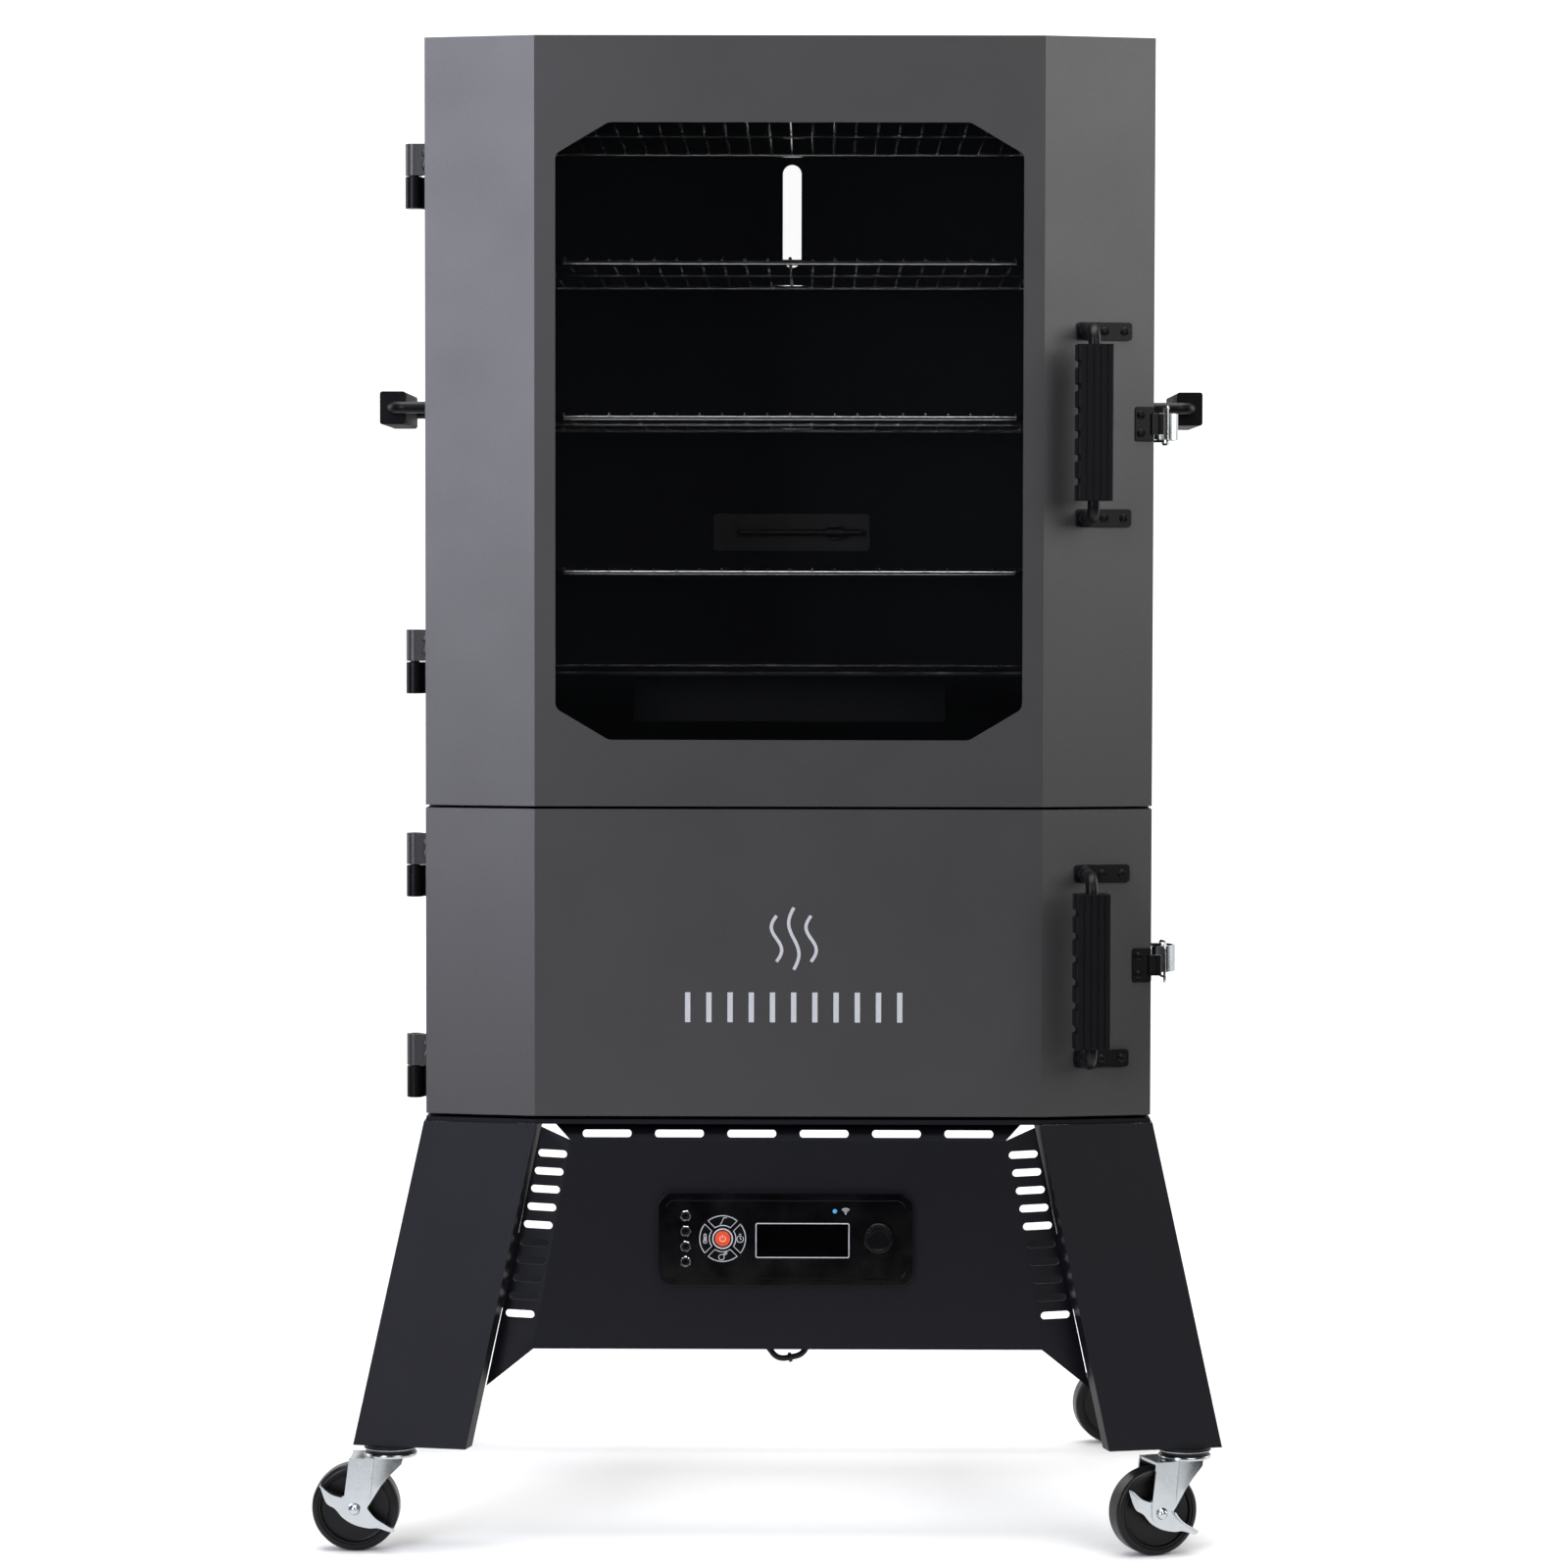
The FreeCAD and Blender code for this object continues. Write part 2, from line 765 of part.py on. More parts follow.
def keeper_shape():
    """Door side of the latch: a screwed plate that ends in a rolled hook beside the door's edge."""
    thick = 1.8
    plate = Part.makeBox(17, thick, KEEPER_TALL, Vector(-9, -thick, -KEEPER_TALL / 2))
    plate = plate.makeFillet(2, [edge for edge in plate.Edges if runs_along(edge, "y")])
    lip = Part.makeBox(9, thick, KEEPER_TALL * 0.6, Vector(5, -thick - 3, -KEEPER_TALL * 0.3))
    web = Part.makeBox(thick, 4, KEEPER_TALL * 0.6, Vector(5, -4, -KEEPER_TALL * 0.3))
    roll = Part.makeCylinder(
        BARREL_RADIUS, KEEPER_TALL * 0.6, Vector(13.5, -thick - 1.2, -KEEPER_TALL * 0.3)
    )
    return plate.fuse([lip, web, roll]).removeSplitter()


def latch_base_shape():
    """Cabinet side of the latch: a screwed plate with two ears that carry the lever's pivot."""
    half = size("cabinetHalf")
    thick = 2.0
    plate = Part.makeBox(thick, 44, 32, Vector(half, -190, -16))
    plate = plate.makeFillet(3, [edge for edge in plate.Edges if runs_along(edge, "x")])
    pivot_x = half + LATCH_PIVOT[0]
    parts = []
    for end in (-1, 1):
        low = 12.0 if end > 0 else -14.0
        ear = Part.makeBox(LATCH_PIVOT[0], 10, thick, Vector(half, LATCH_PIVOT[1] - 5, low))
        cap = Part.makeCylinder(5, thick, Vector(pivot_x, LATCH_PIVOT[1], low))
        parts += [ear, cap]
    pin = Part.makeCylinder(1.9, 26, Vector(pivot_x, LATCH_PIVOT[1], -13))
    return plate.fuse(parts + [pin]).removeSplitter()


def latch_lever_shape():
    """The over-centre lever: a hub on the pivot and a channel whose outer web bows outward."""
    half = size("cabinetHalf")
    x, y = half + LATCH_PIVOT[0], LATCH_PIVOT[1]
    hub = Part.makeCylinder(4.0, 2 * LEVER_HALF, Vector(x, y, -LEVER_HALF))
    outer = [
        Vector(x + 1.5, y - 3.6, -LEVER_HALF),
        Vector(x + 16.5, y + 10, -LEVER_HALF),
        Vector(x + 12.5, y + 34, -LEVER_HALF),
    ]
    inner = [
        Vector(x + 11.0, y + 33.2, -LEVER_HALF),
        Vector(x + 14.6, y + 10.5, -LEVER_HALF),
        Vector(x + 0.5, y - 1.8, -LEVER_HALF),
    ]
    edges = [
        Part.Arc(*outer).toShape(),
        Part.LineSegment(outer[2], inner[0]).toShape(),
        Part.Arc(*inner).toShape(),
        Part.LineSegment(inner[2], outer[0]).toShape(),
    ]
    plate = Part.Face(Part.Wire(edges)).extrude(Vector(0, 0, 2 * LEVER_HALF))
    arms = []
    for low in (-LEVER_HALF, LEVER_HALF - 1.6):
        arms.append(Part.makeBox(9.5, 16, 1.6, Vector(x + 1, y, low)))
    lever = hub.fuse([plate] + arms)
    bore = Part.makeCylinder(2.0, 40, Vector(x, y, -20))
    seat = Part.makeCylinder(BAIL_RADIUS + 0.1, 40, Vector(x + 4.5, y + 12, -20))
    return lever.cut(bore.fuse(seat)).removeSplitter()


def latch_bail_shape():
    """The wire loop that the lever pulls: pivots in the lever's arms, crossbar beside the keeper."""
    half = size("cabinetHalf")
    x, y = half + LATCH_PIVOT[0] + 4.5, LATCH_PIVOT[1] + 12
    front = Vector(half + 12.6, -224.5, 0)
    points = [
        Vector(x, y, 9),
        Vector(x, y, 15.6),
        Vector(x + 3.5, y - 16, 15.6),
        Vector(front.x, front.y, 15.6),
        Vector(front.x, front.y, -15.6),
        Vector(x + 3.5, y - 16, -15.6),
        Vector(x, y, -15.6),
        Vector(x, y, -9),
    ]
    return pipe(points, 2.6, BAIL_RADIUS)


def make_latches():
    bases = []
    for door in ("upper", "lower"):
        height = size(f"{door}LatchAt")
        lift = Placement(Vector(0, 0, height), Rotation())
        keep(shaped(f"{door}_keeper", keeper_shape(), keeper_place(height)), f"{door}_keeper")
        keep(shaped(f"{door}_latch_lever", latch_lever_shape(), lift), f"{door}_latch_lever")
        keep(shaped(f"{door}_latch_bail", latch_bail_shape(), lift), f"{door}_latch_bail")
        bases.append(placed(latch_base_shape(), lift))
    keep(shaped("latch_bases", Part.makeCompound(bases)), "latch_bases")


def make_screws():
    """Grouped by the body that they are driven into."""
    out = Vector(0, -1, 0)
    for door in ("upper", "lower"):
        where = facet_place(size("doorHandleAcross"), size(f"{door}HandleAt"))
        heads = [placed(pan_screw(spot, out), where) for spot in foot_screw_spots()]
        keeper = keeper_place(size(f"{door}LatchAt"))
        for end in (-1, 1):
            spot = Vector(-4, -1.8, end * 8)
            heads.append(placed(pan_screw(spot, out), keeper))
        keep(shaped(f"{door}_door_screws", Part.makeCompound(heads)), f"{door}_door_screws")
    heads = []
    for _, sign in SIDES:
        where = side_handle_place(sign)
        heads += [placed(pan_screw(spot, out), where) for spot in foot_screw_spots()]
    for door in ("upper", "lower"):
        for end in (-1, 1):
            at = Vector(size("cabinetHalf") + 2, -152, size(f"{door}LatchAt") + end * 10)
            heads.append(pan_screw(at, Vector(1, 0, 0)))
    keep(shaped("cabinet_screws", Part.makeCompound(heads)), "cabinet_screws")


# ---------------------------------------------------------------- racks and what hangs inside


def wire(start, end, radius):
    return Part.makeCylinder(radius, (end - start).Length, start, end - start)


def rack_shape():
    """A wire rack: a rod frame with cut front corners, a middle rod and wires front to back."""
    half, front_half = size("rackHalf"), size("rackFrontHalf")
    front, corner, back = size("rackFront"), size("rackCorner"), size("rackBack")
    thick, thin = size("rackRod"), size("rackWire")
    corners = [
        Vector(-front_half, front, 0),
        Vector(front_half, front, 0),
        Vector(half, corner, 0),
        Vector(half, back, 0),
        Vector(-half, back, 0),
        Vector(-half, corner, 0),
    ]
    solids = []
    for i, start in enumerate(corners):
        end = corners[(i + 1) % len(corners)]
        solids.append(wire(start, end, thick))
        solids.append(Part.makeSphere(thick, start))
    middle = (front + back) / 2
    solids.append(wire(Vector(-half, middle, 0), Vector(half, middle, 0), thick))
    lift = thick + thin - size("rackLap")
    pitch = size("rackPitch")
    reach = int((half - 8) // pitch)
    for i in range(-reach, reach + 1):
        x = i * pitch
        past = max(0.0, abs(x) - front_half) / (half - front_half)
        start = Vector(x, front + past * (corner - front) - 2.0, lift)
        solids.append(wire(start, Vector(x, back + 2.0, lift), thin))
    return solids[0].fuse(solids[1:])


def make_racks():
    rack = rack_shape()
    lifts = [Placement(Vector(0, 0, height), Rotation()) for height in RACK_HEIGHTS]
    racks = Part.makeCompound([placed(rack, lift) for lift in lifts])
    keep(shaped("wire_racks", racks), "wire_racks")


def open_tray(name, x, y, z, wall, flange=None):
    """A tray open at the top, with a flat flange around its rim where one is asked for."""
    outer = block(name_of(name, "outer"), x, y, z)
    hollow = block(
        name_of(name, "hollow"),
        (f"{x[0]} + {wall}", f"{x[1]} - {wall}"),
        (f"{y[0]} + {wall}", f"{y[1]} - {wall}"),
        (f"{z[0]} + {wall}", f"{z[1]} + 1"),
    )
    if flange is None:
        return carved(name, outer, [hollow])
    rim = block(name_of(name, "rim"), flange[0], flange[1], (f"{z[1]} - {wall}", z[1]))
    return carved(name, joined(name_of(name, "whole"), [outer, rim]), [hollow])


def make_trays():
    pan = open_tray(
        "water_pan",
        ("-140", "140"),
        ("-96", "130"),
        (f"{TRAY_HEIGHT} - rackRod - 42", f"{TRAY_HEIGHT} - rackRod + 1.5"),
        "1.5",
        (("-rackHalf", "rackHalf"), ("rackFront + 8", "rackBack - 30")),
    )
    keep(pan, "water_pan")
    tray = open_tray("chip_tray_box", ("-95", "95"), ("-70", "110"), ("492", "536"), "1.5")
    legs = [
        block(f"chip_tray_leg_{i}", x, y, ("cabinetLow + floorThick", "493"))
        for i, (x, y) in enumerate(
            (
                (("-93", "-91"), ("-66", "-46")),
                (("91", "93"), ("-66", "-46")),
                (("-93", "-91"), ("86", "106")),
                (("91", "93"), ("86", "106")),
            )
        )
    ]
    keep(joined("chip_tray_on_legs", [tray] + legs), "chip_tray")


def make_heating_element():
    """A sheathed heater loop that comes out of the back wall under the chip tray."""
    back = size("cabinetBack") - size("sheetThick")
    height = 462.0
    points = [
        Vector(-30, back, height),
        Vector(-30, 150, height),
        Vector(-74, 100, height),
        Vector(-74, -50, height),
        Vector(74, -50, height),
        Vector(74, 100, height),
        Vector(30, 150, height),
        Vector(30, back, height),
    ]
    loop = pipe(points, 26, 4.0)
    plate = Part.makeBox(100, 4, 40, Vector(-50, back - 4, height - 20))
    keep(shaped("heating_element", loop.fuse(plate).removeSplitter()), "heating_element")


def make_temperature_sensor():
    """A probe rod clipped to a small bracket on the back wall."""
    back = size("cabinetBack") - size("sheetThick")
    height = 891.0
    plate = Part.makeBox(152, 2, 36, Vector(-76, back - 2, height - 18))
    plate = plate.makeFillet(4, [edge for edge in plate.Edges if runs_along(edge, "y")])
    probe = Part.makeCylinder(3, 118, Vector(-50, back - 9, height), Vector(1, 0, 0))
    collar = Part.makeCylinder(5, 16, Vector(34, back - 9, height), Vector(1, 0, 0))
    clip = Part.makeBox(8, 9, 14, Vector(38, back - 10, height - 7))
    shelf = Part.makeBox(8, 8, 3, Vector(-40, back - 9, height - 4))
    whole = plate.fuse([probe, collar, clip, shelf]).removeSplitter()
    keep(shaped("temperature_sensor", whole), "temperature_sensor")


# ---------------------------------------------------------------- stand


def bent_strip(points, thick):
    """A flat face: a strip of one thickness that follows bends, laid to the left of its path."""
    lines = []
    for start, end in zip(points, points[1:]):
        along = (end - start).normalize()
        side = Vector(-along.y, along.x, 0) * thick
        lines.append((start + side, along))
    inner = [lines[0][0]]
    for (a, u), (b, v) in zip(lines, lines[1:]):
        across = u.x * v.y - u.y * v.x
        reach = ((b.x - a.x) * v.y - (b.y - a.y) * v.x) / across
        inner.append(a + u * reach)
    last, along = lines[-1]
    inner.append(last + along * (points[-1] - points[-2]).Length)
    ring = points + inner[::-1]
    return Part.Face(Part.makePolygon(ring + [ring[0]]))


def leg_splay(side, end):
    """How far a leg moves from its top to its foot."""
    drop = size("legLow") - size("standTop")
    return Vector(side * size("legSplaySide"), end * size("legSplayFront"), drop)


def leg_shape(side, end, path, foot):
    """One folded sheet leg with a closed foot plate; side and end are -1 or 1."""
    thick = size("sheetThick")
    top = size("standTop")
    corners = [Vector(side * x, end * y, top) for x, y in path]
    if side * end > 0:
        corners.reverse()
    splay = leg_splay(side, end)
    column = bent_strip(corners, thick).extrude(splay)
    floor = [Vector(side * x, end * y, top) + splay for x, y in foot]
    plate = Part.Face(Part.makePolygon(floor + [floor[0]])).extrude(Vector(0, 0, size("legPlate")))
    return column.fuse(plate).removeSplitter()


def make_legs():
    """Front legs carry on the doors' side facets; rear legs are plain corner angles."""
    half, fold = size("cabinetHalf"), size("foldHalf")
    front, back = -size("doorFront"), size("cabinetBack")
    deep = size("facetDeep")
    front_path = [(half, front - 92), (half, front - deep), (fold, front), (fold - 4, front - 16)]
    front_foot = [(half, front - 92), (half, front - deep), (fold, front), (fold, front - 92)]
    rear_path = [(half, back - 60), (half, back), (half - 56, back)]
    rear_foot = [(half, back - 60), (half, back), (half - 56, back), (half - 56, back - 60)]
    for name, end, path, foot in (
        ("front", -1, front_path, front_foot),
        ("rear", 1, rear_path, rear_foot),
    ):
        label = f"{name}_legs"
        pair = [leg_shape(sign, end, path, foot) for _, sign in SIDES]
        keep(shaped(label, Part.makeCompound(pair)), label)


def slab(corners, thick):
    """A flat sheet panel, thickened straight back from its front face."""
    return Part.Face(Part.makePolygon(corners + [corners[0]])).extrude(Vector(0, thick, 0))


def stadium(centre, wide, tall, deep):
    """A cutter for a horizontal slot with round ends, through the sheet along Y."""
    flat = wide - tall
    middle = Part.makeBox(flat, deep, tall, centre + Vector(-flat / 2, -deep / 2, -tall / 2))
    ends = [
        Part.makeCylinder(tall / 2, deep, centre + Vector(sign * flat / 2, -deep / 2, 0), Vector(0, 1, 0))
        for sign in (-1, 1)
    ]
    return middle.fuse(ends)


def make_apron():
    """The faceted front sheet of the stand: top strip, centre panel and two slotted wings."""
    front = size("apronFront")
    fold, low = size("apronFold"), size("apronLow")
    top = size("standTop")
    top_half, low_half = size("apronTopHalf"), size("apronLowHalf")
    thick = size("sheetThick")
    outer_top = Vector(214.8, front + 12, 370)
    outer_low = Vector(263, front + 12, 142.5)
    centre = [
        Vector(-top_half, front, fold),
        Vector(top_half, front, fold),
        Vector(low_half, front, low),
        Vector(-low_half, front, low),
    ]
    strip = [
        Vector(-top_half, front, fold),
        Vector(top_half, front, fold),
        Vector(top_half + 16, front + 26, top),
        Vector(-top_half - 16, front + 26, top),
    ]
    solids = [slab(centre, thick), slab(strip, thick)]
    lip = Part.makeBox(2 * low_half - 4, 16, thick, Vector(-low_half + 2, front, low))
    solids.append(lip)
    cutters = []
    for _, sign in SIDES:
        wing = [
            (top_half, front, fold),
            (outer_top.x, outer_top.y, outer_top.z),
            (outer_low.x, outer_low.y, outer_low.z),
            (low_half, front, low),
        ]
        corners = [Vector(sign * x, y, z) for x, y, z in wing]
        for triangle in (corners[:3], [corners[0]] + corners[2:]):
            solids.append(slab(triangle, thick))
        for i in range(10):
            spot = Vector(sign * (204.4 + i * 3.16), front + 6, 347.3 - i * 15.57)
            cutters.append(stadium(spot, 25.5, 6.6, 60))
    for i in range(6):
        spot = Vector((i - 2.5) * 62.9, front + 9, 364.5)
        cutters.append(stadium(spot, 42.5, 5.5, 60))
    stem_hole = KNOB_CENTRE + Vector(0, front - 10, 0)
    cutters.append(Part.makeCylinder(STEM_HOLE, 40, stem_hole, Vector(0, 1, 0)))
    whole = solids[0].fuse(solids[1:])
    keep(shaped("stand_apron", whole.cut(cutters).removeSplitter()), "stand_apron")


def make_rear_brace():
    back = size("cabinetBack") + 9
    face = [
        Vector(-299, back, 205),
        Vector(299, back, 205),
        Vector(309, back, 131),
        Vector(-309, back, 131),
    ]
    keep(shaped("rear_brace", slab(face, size("sheetThick"))), "rear_brace")


# ---------------------------------------------------------------- controller


def rounded_plate(wide, tall, thick, centre, radius):
    """A plate that faces the front, with round corners; centre is the middle of its back face."""
    plate = Part.makeBox(wide, thick, tall, centre + Vector(-wide / 2, -thick, -tall / 2))
    return plate.makeFillet(radius, [edge for edge in plate.Edges if runs_along(edge, "y")])


PAD_CENTRE = Vector(-56.4, 0, 275.0)
KNOB_CENTRE = Vector(78.8, 0, 275.4)
STEM_HOLE = 5.0
DISPLAY_CENTRE = Vector(12.8, 0, 273.3)
DISPLAY_WIDE = 82.0
DISPLAY_TALL = 31.0
JACK_HEIGHTS = (294.6, 281.3, 268.0, 254.7)
JACK_X = -88.5
PAD_BUTTONS = (("probe_button", 90), ("timer_button", 0), ("temperature_button", 180), ("meat_button", 270))


def display_block(inset, front, deep):
    """The display's outline, inset all round, from a front face back."""
    wide, tall = DISPLAY_WIDE - 2 * inset, DISPLAY_TALL - 2 * inset
    return Part.makeBox(wide, deep, tall, DISPLAY_CENTRE + Vector(-wide / 2, front, -tall / 2))


def make_controller():
    front = size("apronFront")
    face = front - size("bezelThick")
    centre = Vector(size("bezelCentre"), front, size("bezelHigh"))
    bezel = rounded_plate(
        size("bezelWide"), size("bezelTall"), size("bezelThick"), centre, size("bezelRound")
    )
    inner = rounded_plate(
        size("bezelWide") - 12,
        size("bezelTall") - 12,
        1.2,
        centre + Vector(0, -size("bezelThick") + 1.2, 0),
        size("bezelRound") - 4,
    )
    bezel = bezel.cut(inner)
    recess = face + 1.2
    back = Vector(0, 1, 0)
    cutters = [
        Part.makeCylinder(21.4, 4.6, PAD_CENTRE + Vector(0, recess - 1, 0), back),
        Part.makeCylinder(4.0, 20, KNOB_CENTRE + Vector(0, recess - 1, 0), back),
        display_block(0, recess - 1, 3.0),
    ]
    cutters += [
        Part.makeCylinder(3.6, 20, Vector(JACK_X, recess - 1, height), back) for height in JACK_HEIGHTS
    ]
    bezel = bezel.cut(cutters)
    keep(shaped("controller_bezel", bezel), "controller_bezel")

    keep(shaped("display_window", display_block(0.1, recess, 2.0)), "display_window")

    jacks = []
    for height in JACK_HEIGHTS:
        at = Vector(JACK_X, recess - 1.2, height)
        ring = Part.makeCylinder(4.8, 1.2, at, back)
        sleeve = Part.makeCylinder(3.6, 5.0, at, back)
        bore = Part.makeCylinder(1.3, 4.6, at - back * 0.1, back)
        jacks.append(ring.fuse(sleeve).cut(bore))
    keep(shaped("probe_jacks", Part.makeCompound(jacks)), "probe_jacks")

    button = Part.makeCylinder(6.8, 4.0, PAD_CENTRE + Vector(0, face - 0.6, 0), back)
    keep(shaped("power_button", button), "power_button")

    quarter = Part.makeCylinder(20.9, 3.2, PAD_CENTRE + Vector(0, face + 0.1, 0), back)
    quarter = quarter.cut(Part.makeCylinder(10.2, 20, PAD_CENTRE + Vector(0, face - 5, 0), back))
    gap = 0.8
    for label, angle in PAD_BUTTONS:
        wedge = [Vector(gap, 0, 0), Vector(40 + gap, 0, 40), Vector(40 + gap, 0, -40)]
        mask = Part.Face(Part.makePolygon(wedge + [wedge[0]])).extrude(Vector(0, 40, 0))
        mask.Placement = Placement(
            PAD_CENTRE + Vector(0, face - 5, 0), Rotation(Vector(0, 1, 0), -angle)
        )
        keep(shaped(label, quarter.common(mask)), label)

    knob = Part.makeCylinder(13.3, 12, KNOB_CENTRE + Vector(0, face - 11.5, 0), back)
    knob = knob.makeChamfer(1.2, [edge for edge in knob.Edges if edge.BoundBox.YMax < face - 11])
    stem = Part.makeCylinder(3.9, 12, KNOB_CENTRE + Vector(0, face - 0.5, 0), back)
    marker = Part.makeBox(1.6, 1.2, 9, KNOB_CENTRE + Vector(-0.8, face - 11.6, 3))
    keep(shaped("control_knob", knob.fuse(stem).cut(marker)), "control_knob")


def make_electronics_box():
    front = size("apronFront") + size("sheetThick")
    box = block(
        "electronics_block",
        ("-140", "140"),
        ("apronFront + sheetThick", "-178"),
        ("205", "332"),
    )
    stem_room = Part.makeCylinder(STEM_HOLE, 30, KNOB_CENTRE + Vector(0, front - 2, 0), Vector(0, 1, 0))
    room = shaped("knob_stem_room", stem_room)
    keep(carved("electronics_case", box, [room]), "electronics_box")


def make_harness():
    """The lead that sags from the electronics box under the apron and back up, with its tie."""
    points = [
        Vector(-26, -214, 205),
        Vector(-26, -214, 184),
        Vector(-9, -223, 162),
        Vector(12, -223, 166),
        Vector(26, -214, 186),
        Vector(26, -214, 205),
    ]
    lead = pipe(points, 12, 2.6)
    tie = Part.makeCylinder(4.2, 3, Vector(0.6, -223, 163.8), Vector(21, 0, 4))
    keep(shaped("harness", lead.fuse(tie)), "harness")


# ---------------------------------------------------------------- casters


CASTERS = (
    ("front_left", -1, -1, 0.0),
    ("front_right", 1, -1, 20.0),
    ("rear_left", -1, 1, 0.0),
    ("rear_right", 1, 1, 8.0),
)
FORK_TOP = 86.0


def fork_shape():
    """Swivel disc, neck and two cheeks that reach down and back to the axle."""
    trail = -size("casterTrail")
    axle = size("wheelRadius")
    half = size("wheelWide") / 2 + 1.6
    cheek_thick = 2.4
    disc = Part.makeCylinder(23, 3, Vector(0, 0, FORK_TOP - 3))
    bridge = Part.makeBox(
        12 - trail + 4.5, 2 * (half + cheek_thick), 3, Vector(trail - 4.5, -half - cheek_thick, FORK_TOP - 6)
    )
    solids = [disc, bridge]
    for sign in (-1, 1):
        inner = half if sign > 0 else -half - cheek_thick
        corners = [
            Vector(12, inner, FORK_TOP - 3),
            Vector(trail - 4.5, inner, FORK_TOP - 3),
            Vector(trail - 9.2, inner, axle + 8),
            Vector(trail - 8, inner, axle - 5),
            Vector(trail, inner, axle - 9),
            Vector(trail + 8, inner, axle - 5),
            Vector(trail + 12.6, inner, axle + 4),
            Vector(10.5, inner, FORK_TOP - 9),
        ]
        cheek = Part.Face(Part.makePolygon(corners + [corners[0]])).extrude(Vector(0, cheek_thick, 0))
        solids.append(cheek)
    axle_pin = Part.makeCylinder(
        size("axleRadius"), 2 * half + 12, Vector(trail, -half - 6, axle), Vector(0, 1, 0)
    )
    solids.append(axle_pin)
    return solids[0].fuse(solids[1:]).removeSplitter()


def wheel_shape():
    """A moulded wheel with a rounded tread, dished faces and a hub."""
    trail = -size("casterTrail")
    radius, half = size("wheelRadius"), size("wheelWide") / 2
    middle = Vector(trail, 0, radius)
    along = Vector(0, 1, 0)
    tyre = Part.makeCylinder(radius, 2 * half, middle - along * half, along)
    rims = [edge for edge in tyre.Edges if edge.Length > 6 * radius]
    tyre = tyre.makeFillet(5.0, rims)
    for sign in (-1, 1):
        start = middle + along * (sign * half)
        dish = Part.makeCone(radius - 7, radius - 10, 4.0, start, along * -sign)
        hub = Part.makeCylinder(10, 4.0, start, along * -sign)
        tyre = tyre.cut(dish.cut(hub))
    bore = Part.makeCylinder(size("axleRadius") + 0.1, 4 * half, middle - along * (2 * half), along)
    return tyre.cut(bore)


BRAKE_OUTLINE = (
    # across and up from the axle: the upper edge from toe to heel, then the lower edge back
    (-29.5, 22.5), (-21.0, 15.5), (-10.5, 12.0), (0.0, 13.5), (8.0, 9.0), (12.0, 1.5), (19.0, -7.0),
    (33.5, -16.5), (32.0, -20.0), (20.5, -16.5), (12.0, -16.5), (0.0, -13.5), (-10.0, -7.5),
    (-17.0, 0.5), (-24.0, 5.0), (-28.0, 14.0),
)
BRAKE_FLANGES = (
    # first and last point of the edge, step into the plate, width
    (0, 2, (0.6, -1.6), 7.0),
    (5, 7, (-0.9, -1.3), 4.5),
)


def brake_shape():
    """The S-shaped sheet brake lever on a front caster's axle, its edge turned forward at both ends."""
    axle = Vector(-size("casterTrail"), 0, size("wheelRadius"))
    thick = 2.0
    start = -(size("wheelWide") / 2 + 1.6 + 2.4 + 0.5) - thick
    along = Vector(0, 1, 0)
    outline = [axle + Vector(across, start, up) for across, up in BRAKE_OUTLINE]
    plate = Part.Face(Part.makePolygon(outline + [outline[0]])).extrude(along * thick)
    extras = []
    for first, last, (across, up), wide in BRAKE_FLANGES:
        edge = outline[first : last + 1]
        inner = [point + Vector(across, 0, up) for point in reversed(edge)]
        face = Part.Face(Part.makePolygon(edge + inner + [edge[0]]))
        extras.append(face.extrude(along * -wide))
    extras.append(Part.makeCylinder(8.5, thick, axle + along * start, along))
    bore = Part.makeCylinder(size("axleRadius") + 0.1, 20, axle + along * (start - 8), along)
    return plate.fuse(extras).cut(bore).removeSplitter()


def caster_place(side, end, turn):
    y = size("swivelFront") if end < 0 else size("swivelRear")
    return Placement(Vector(side * size("swivelSide"), y, 0), Rotation(Vector(0, 0, 1), turn))


def make_casters():
    fork, wheel, brake = fork_shape(), wheel_shape(), brake_shape()
    mounts = []
    for name, side, end, turn in CASTERS:
        where = caster_place(side, end, turn)
        keep(shaped(f"{name}_fork", fork, where), f"{name}_fork")
        keep(shaped(f"{name}_wheel", wheel, where), f"{name}_wheel")
        if end < 0:
            keep(shaped(f"{name}_brake", brake, where), f"{name}_brake")
        flange = Part.makeCylinder(24, 3, Vector(0, 0, size("legLow") - 3))
        race = Part.makeCylinder(17, size("legLow") - 3 - FORK_TOP - 0.4, Vector(0, 0, FORK_TOP + 0.4))
        nut = Part.makeCylinder(7, 10, Vector(0, 0, size("legLow") + size("legPlate")))
        mounts.append(placed(flange.fuse(race), where))
        mounts.append(placed(nut, where))
    keep(shaped("caster_mounts", Part.makeCompound(mounts)), "caster_mounts")


# ---------------------------------------------------------------- build, check and write


make_sides()
make_back()
make_top_and_floor()
make_front_frame()
make_gaskets()
make_cabinet_hinges()
for door in ("upper", "lower"):
    make_door_panel(door)
    make_door_liner(door)
make_glass()
make_handles()
make_latches()
make_screws()
make_racks()
make_trays()
make_heating_element()
make_temperature_sensor()
make_legs()
make_apron()
make_rear_brace()
make_electronics_box()
make_controller()
make_harness()
make_casters()
doc.recompute()

for item in doc.Objects:
    if "Invalid" in item.State or "Error" in item.State:
        raise RuntimeError(f"{item.Name} failed: {item.State}")
for item in subparts:
    if item.Shape.isNull() or not item.Shape.isValid():
        raise RuntimeError(f"{item.Label} has no valid shape")
for item in subparts:
    item.Shape.exportStep(f"parts/{item.Label}.step")
print(len(subparts), "sub-parts written")
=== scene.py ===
import json
import math

import bmesh
import bpy
from mathutils import Matrix, Vector


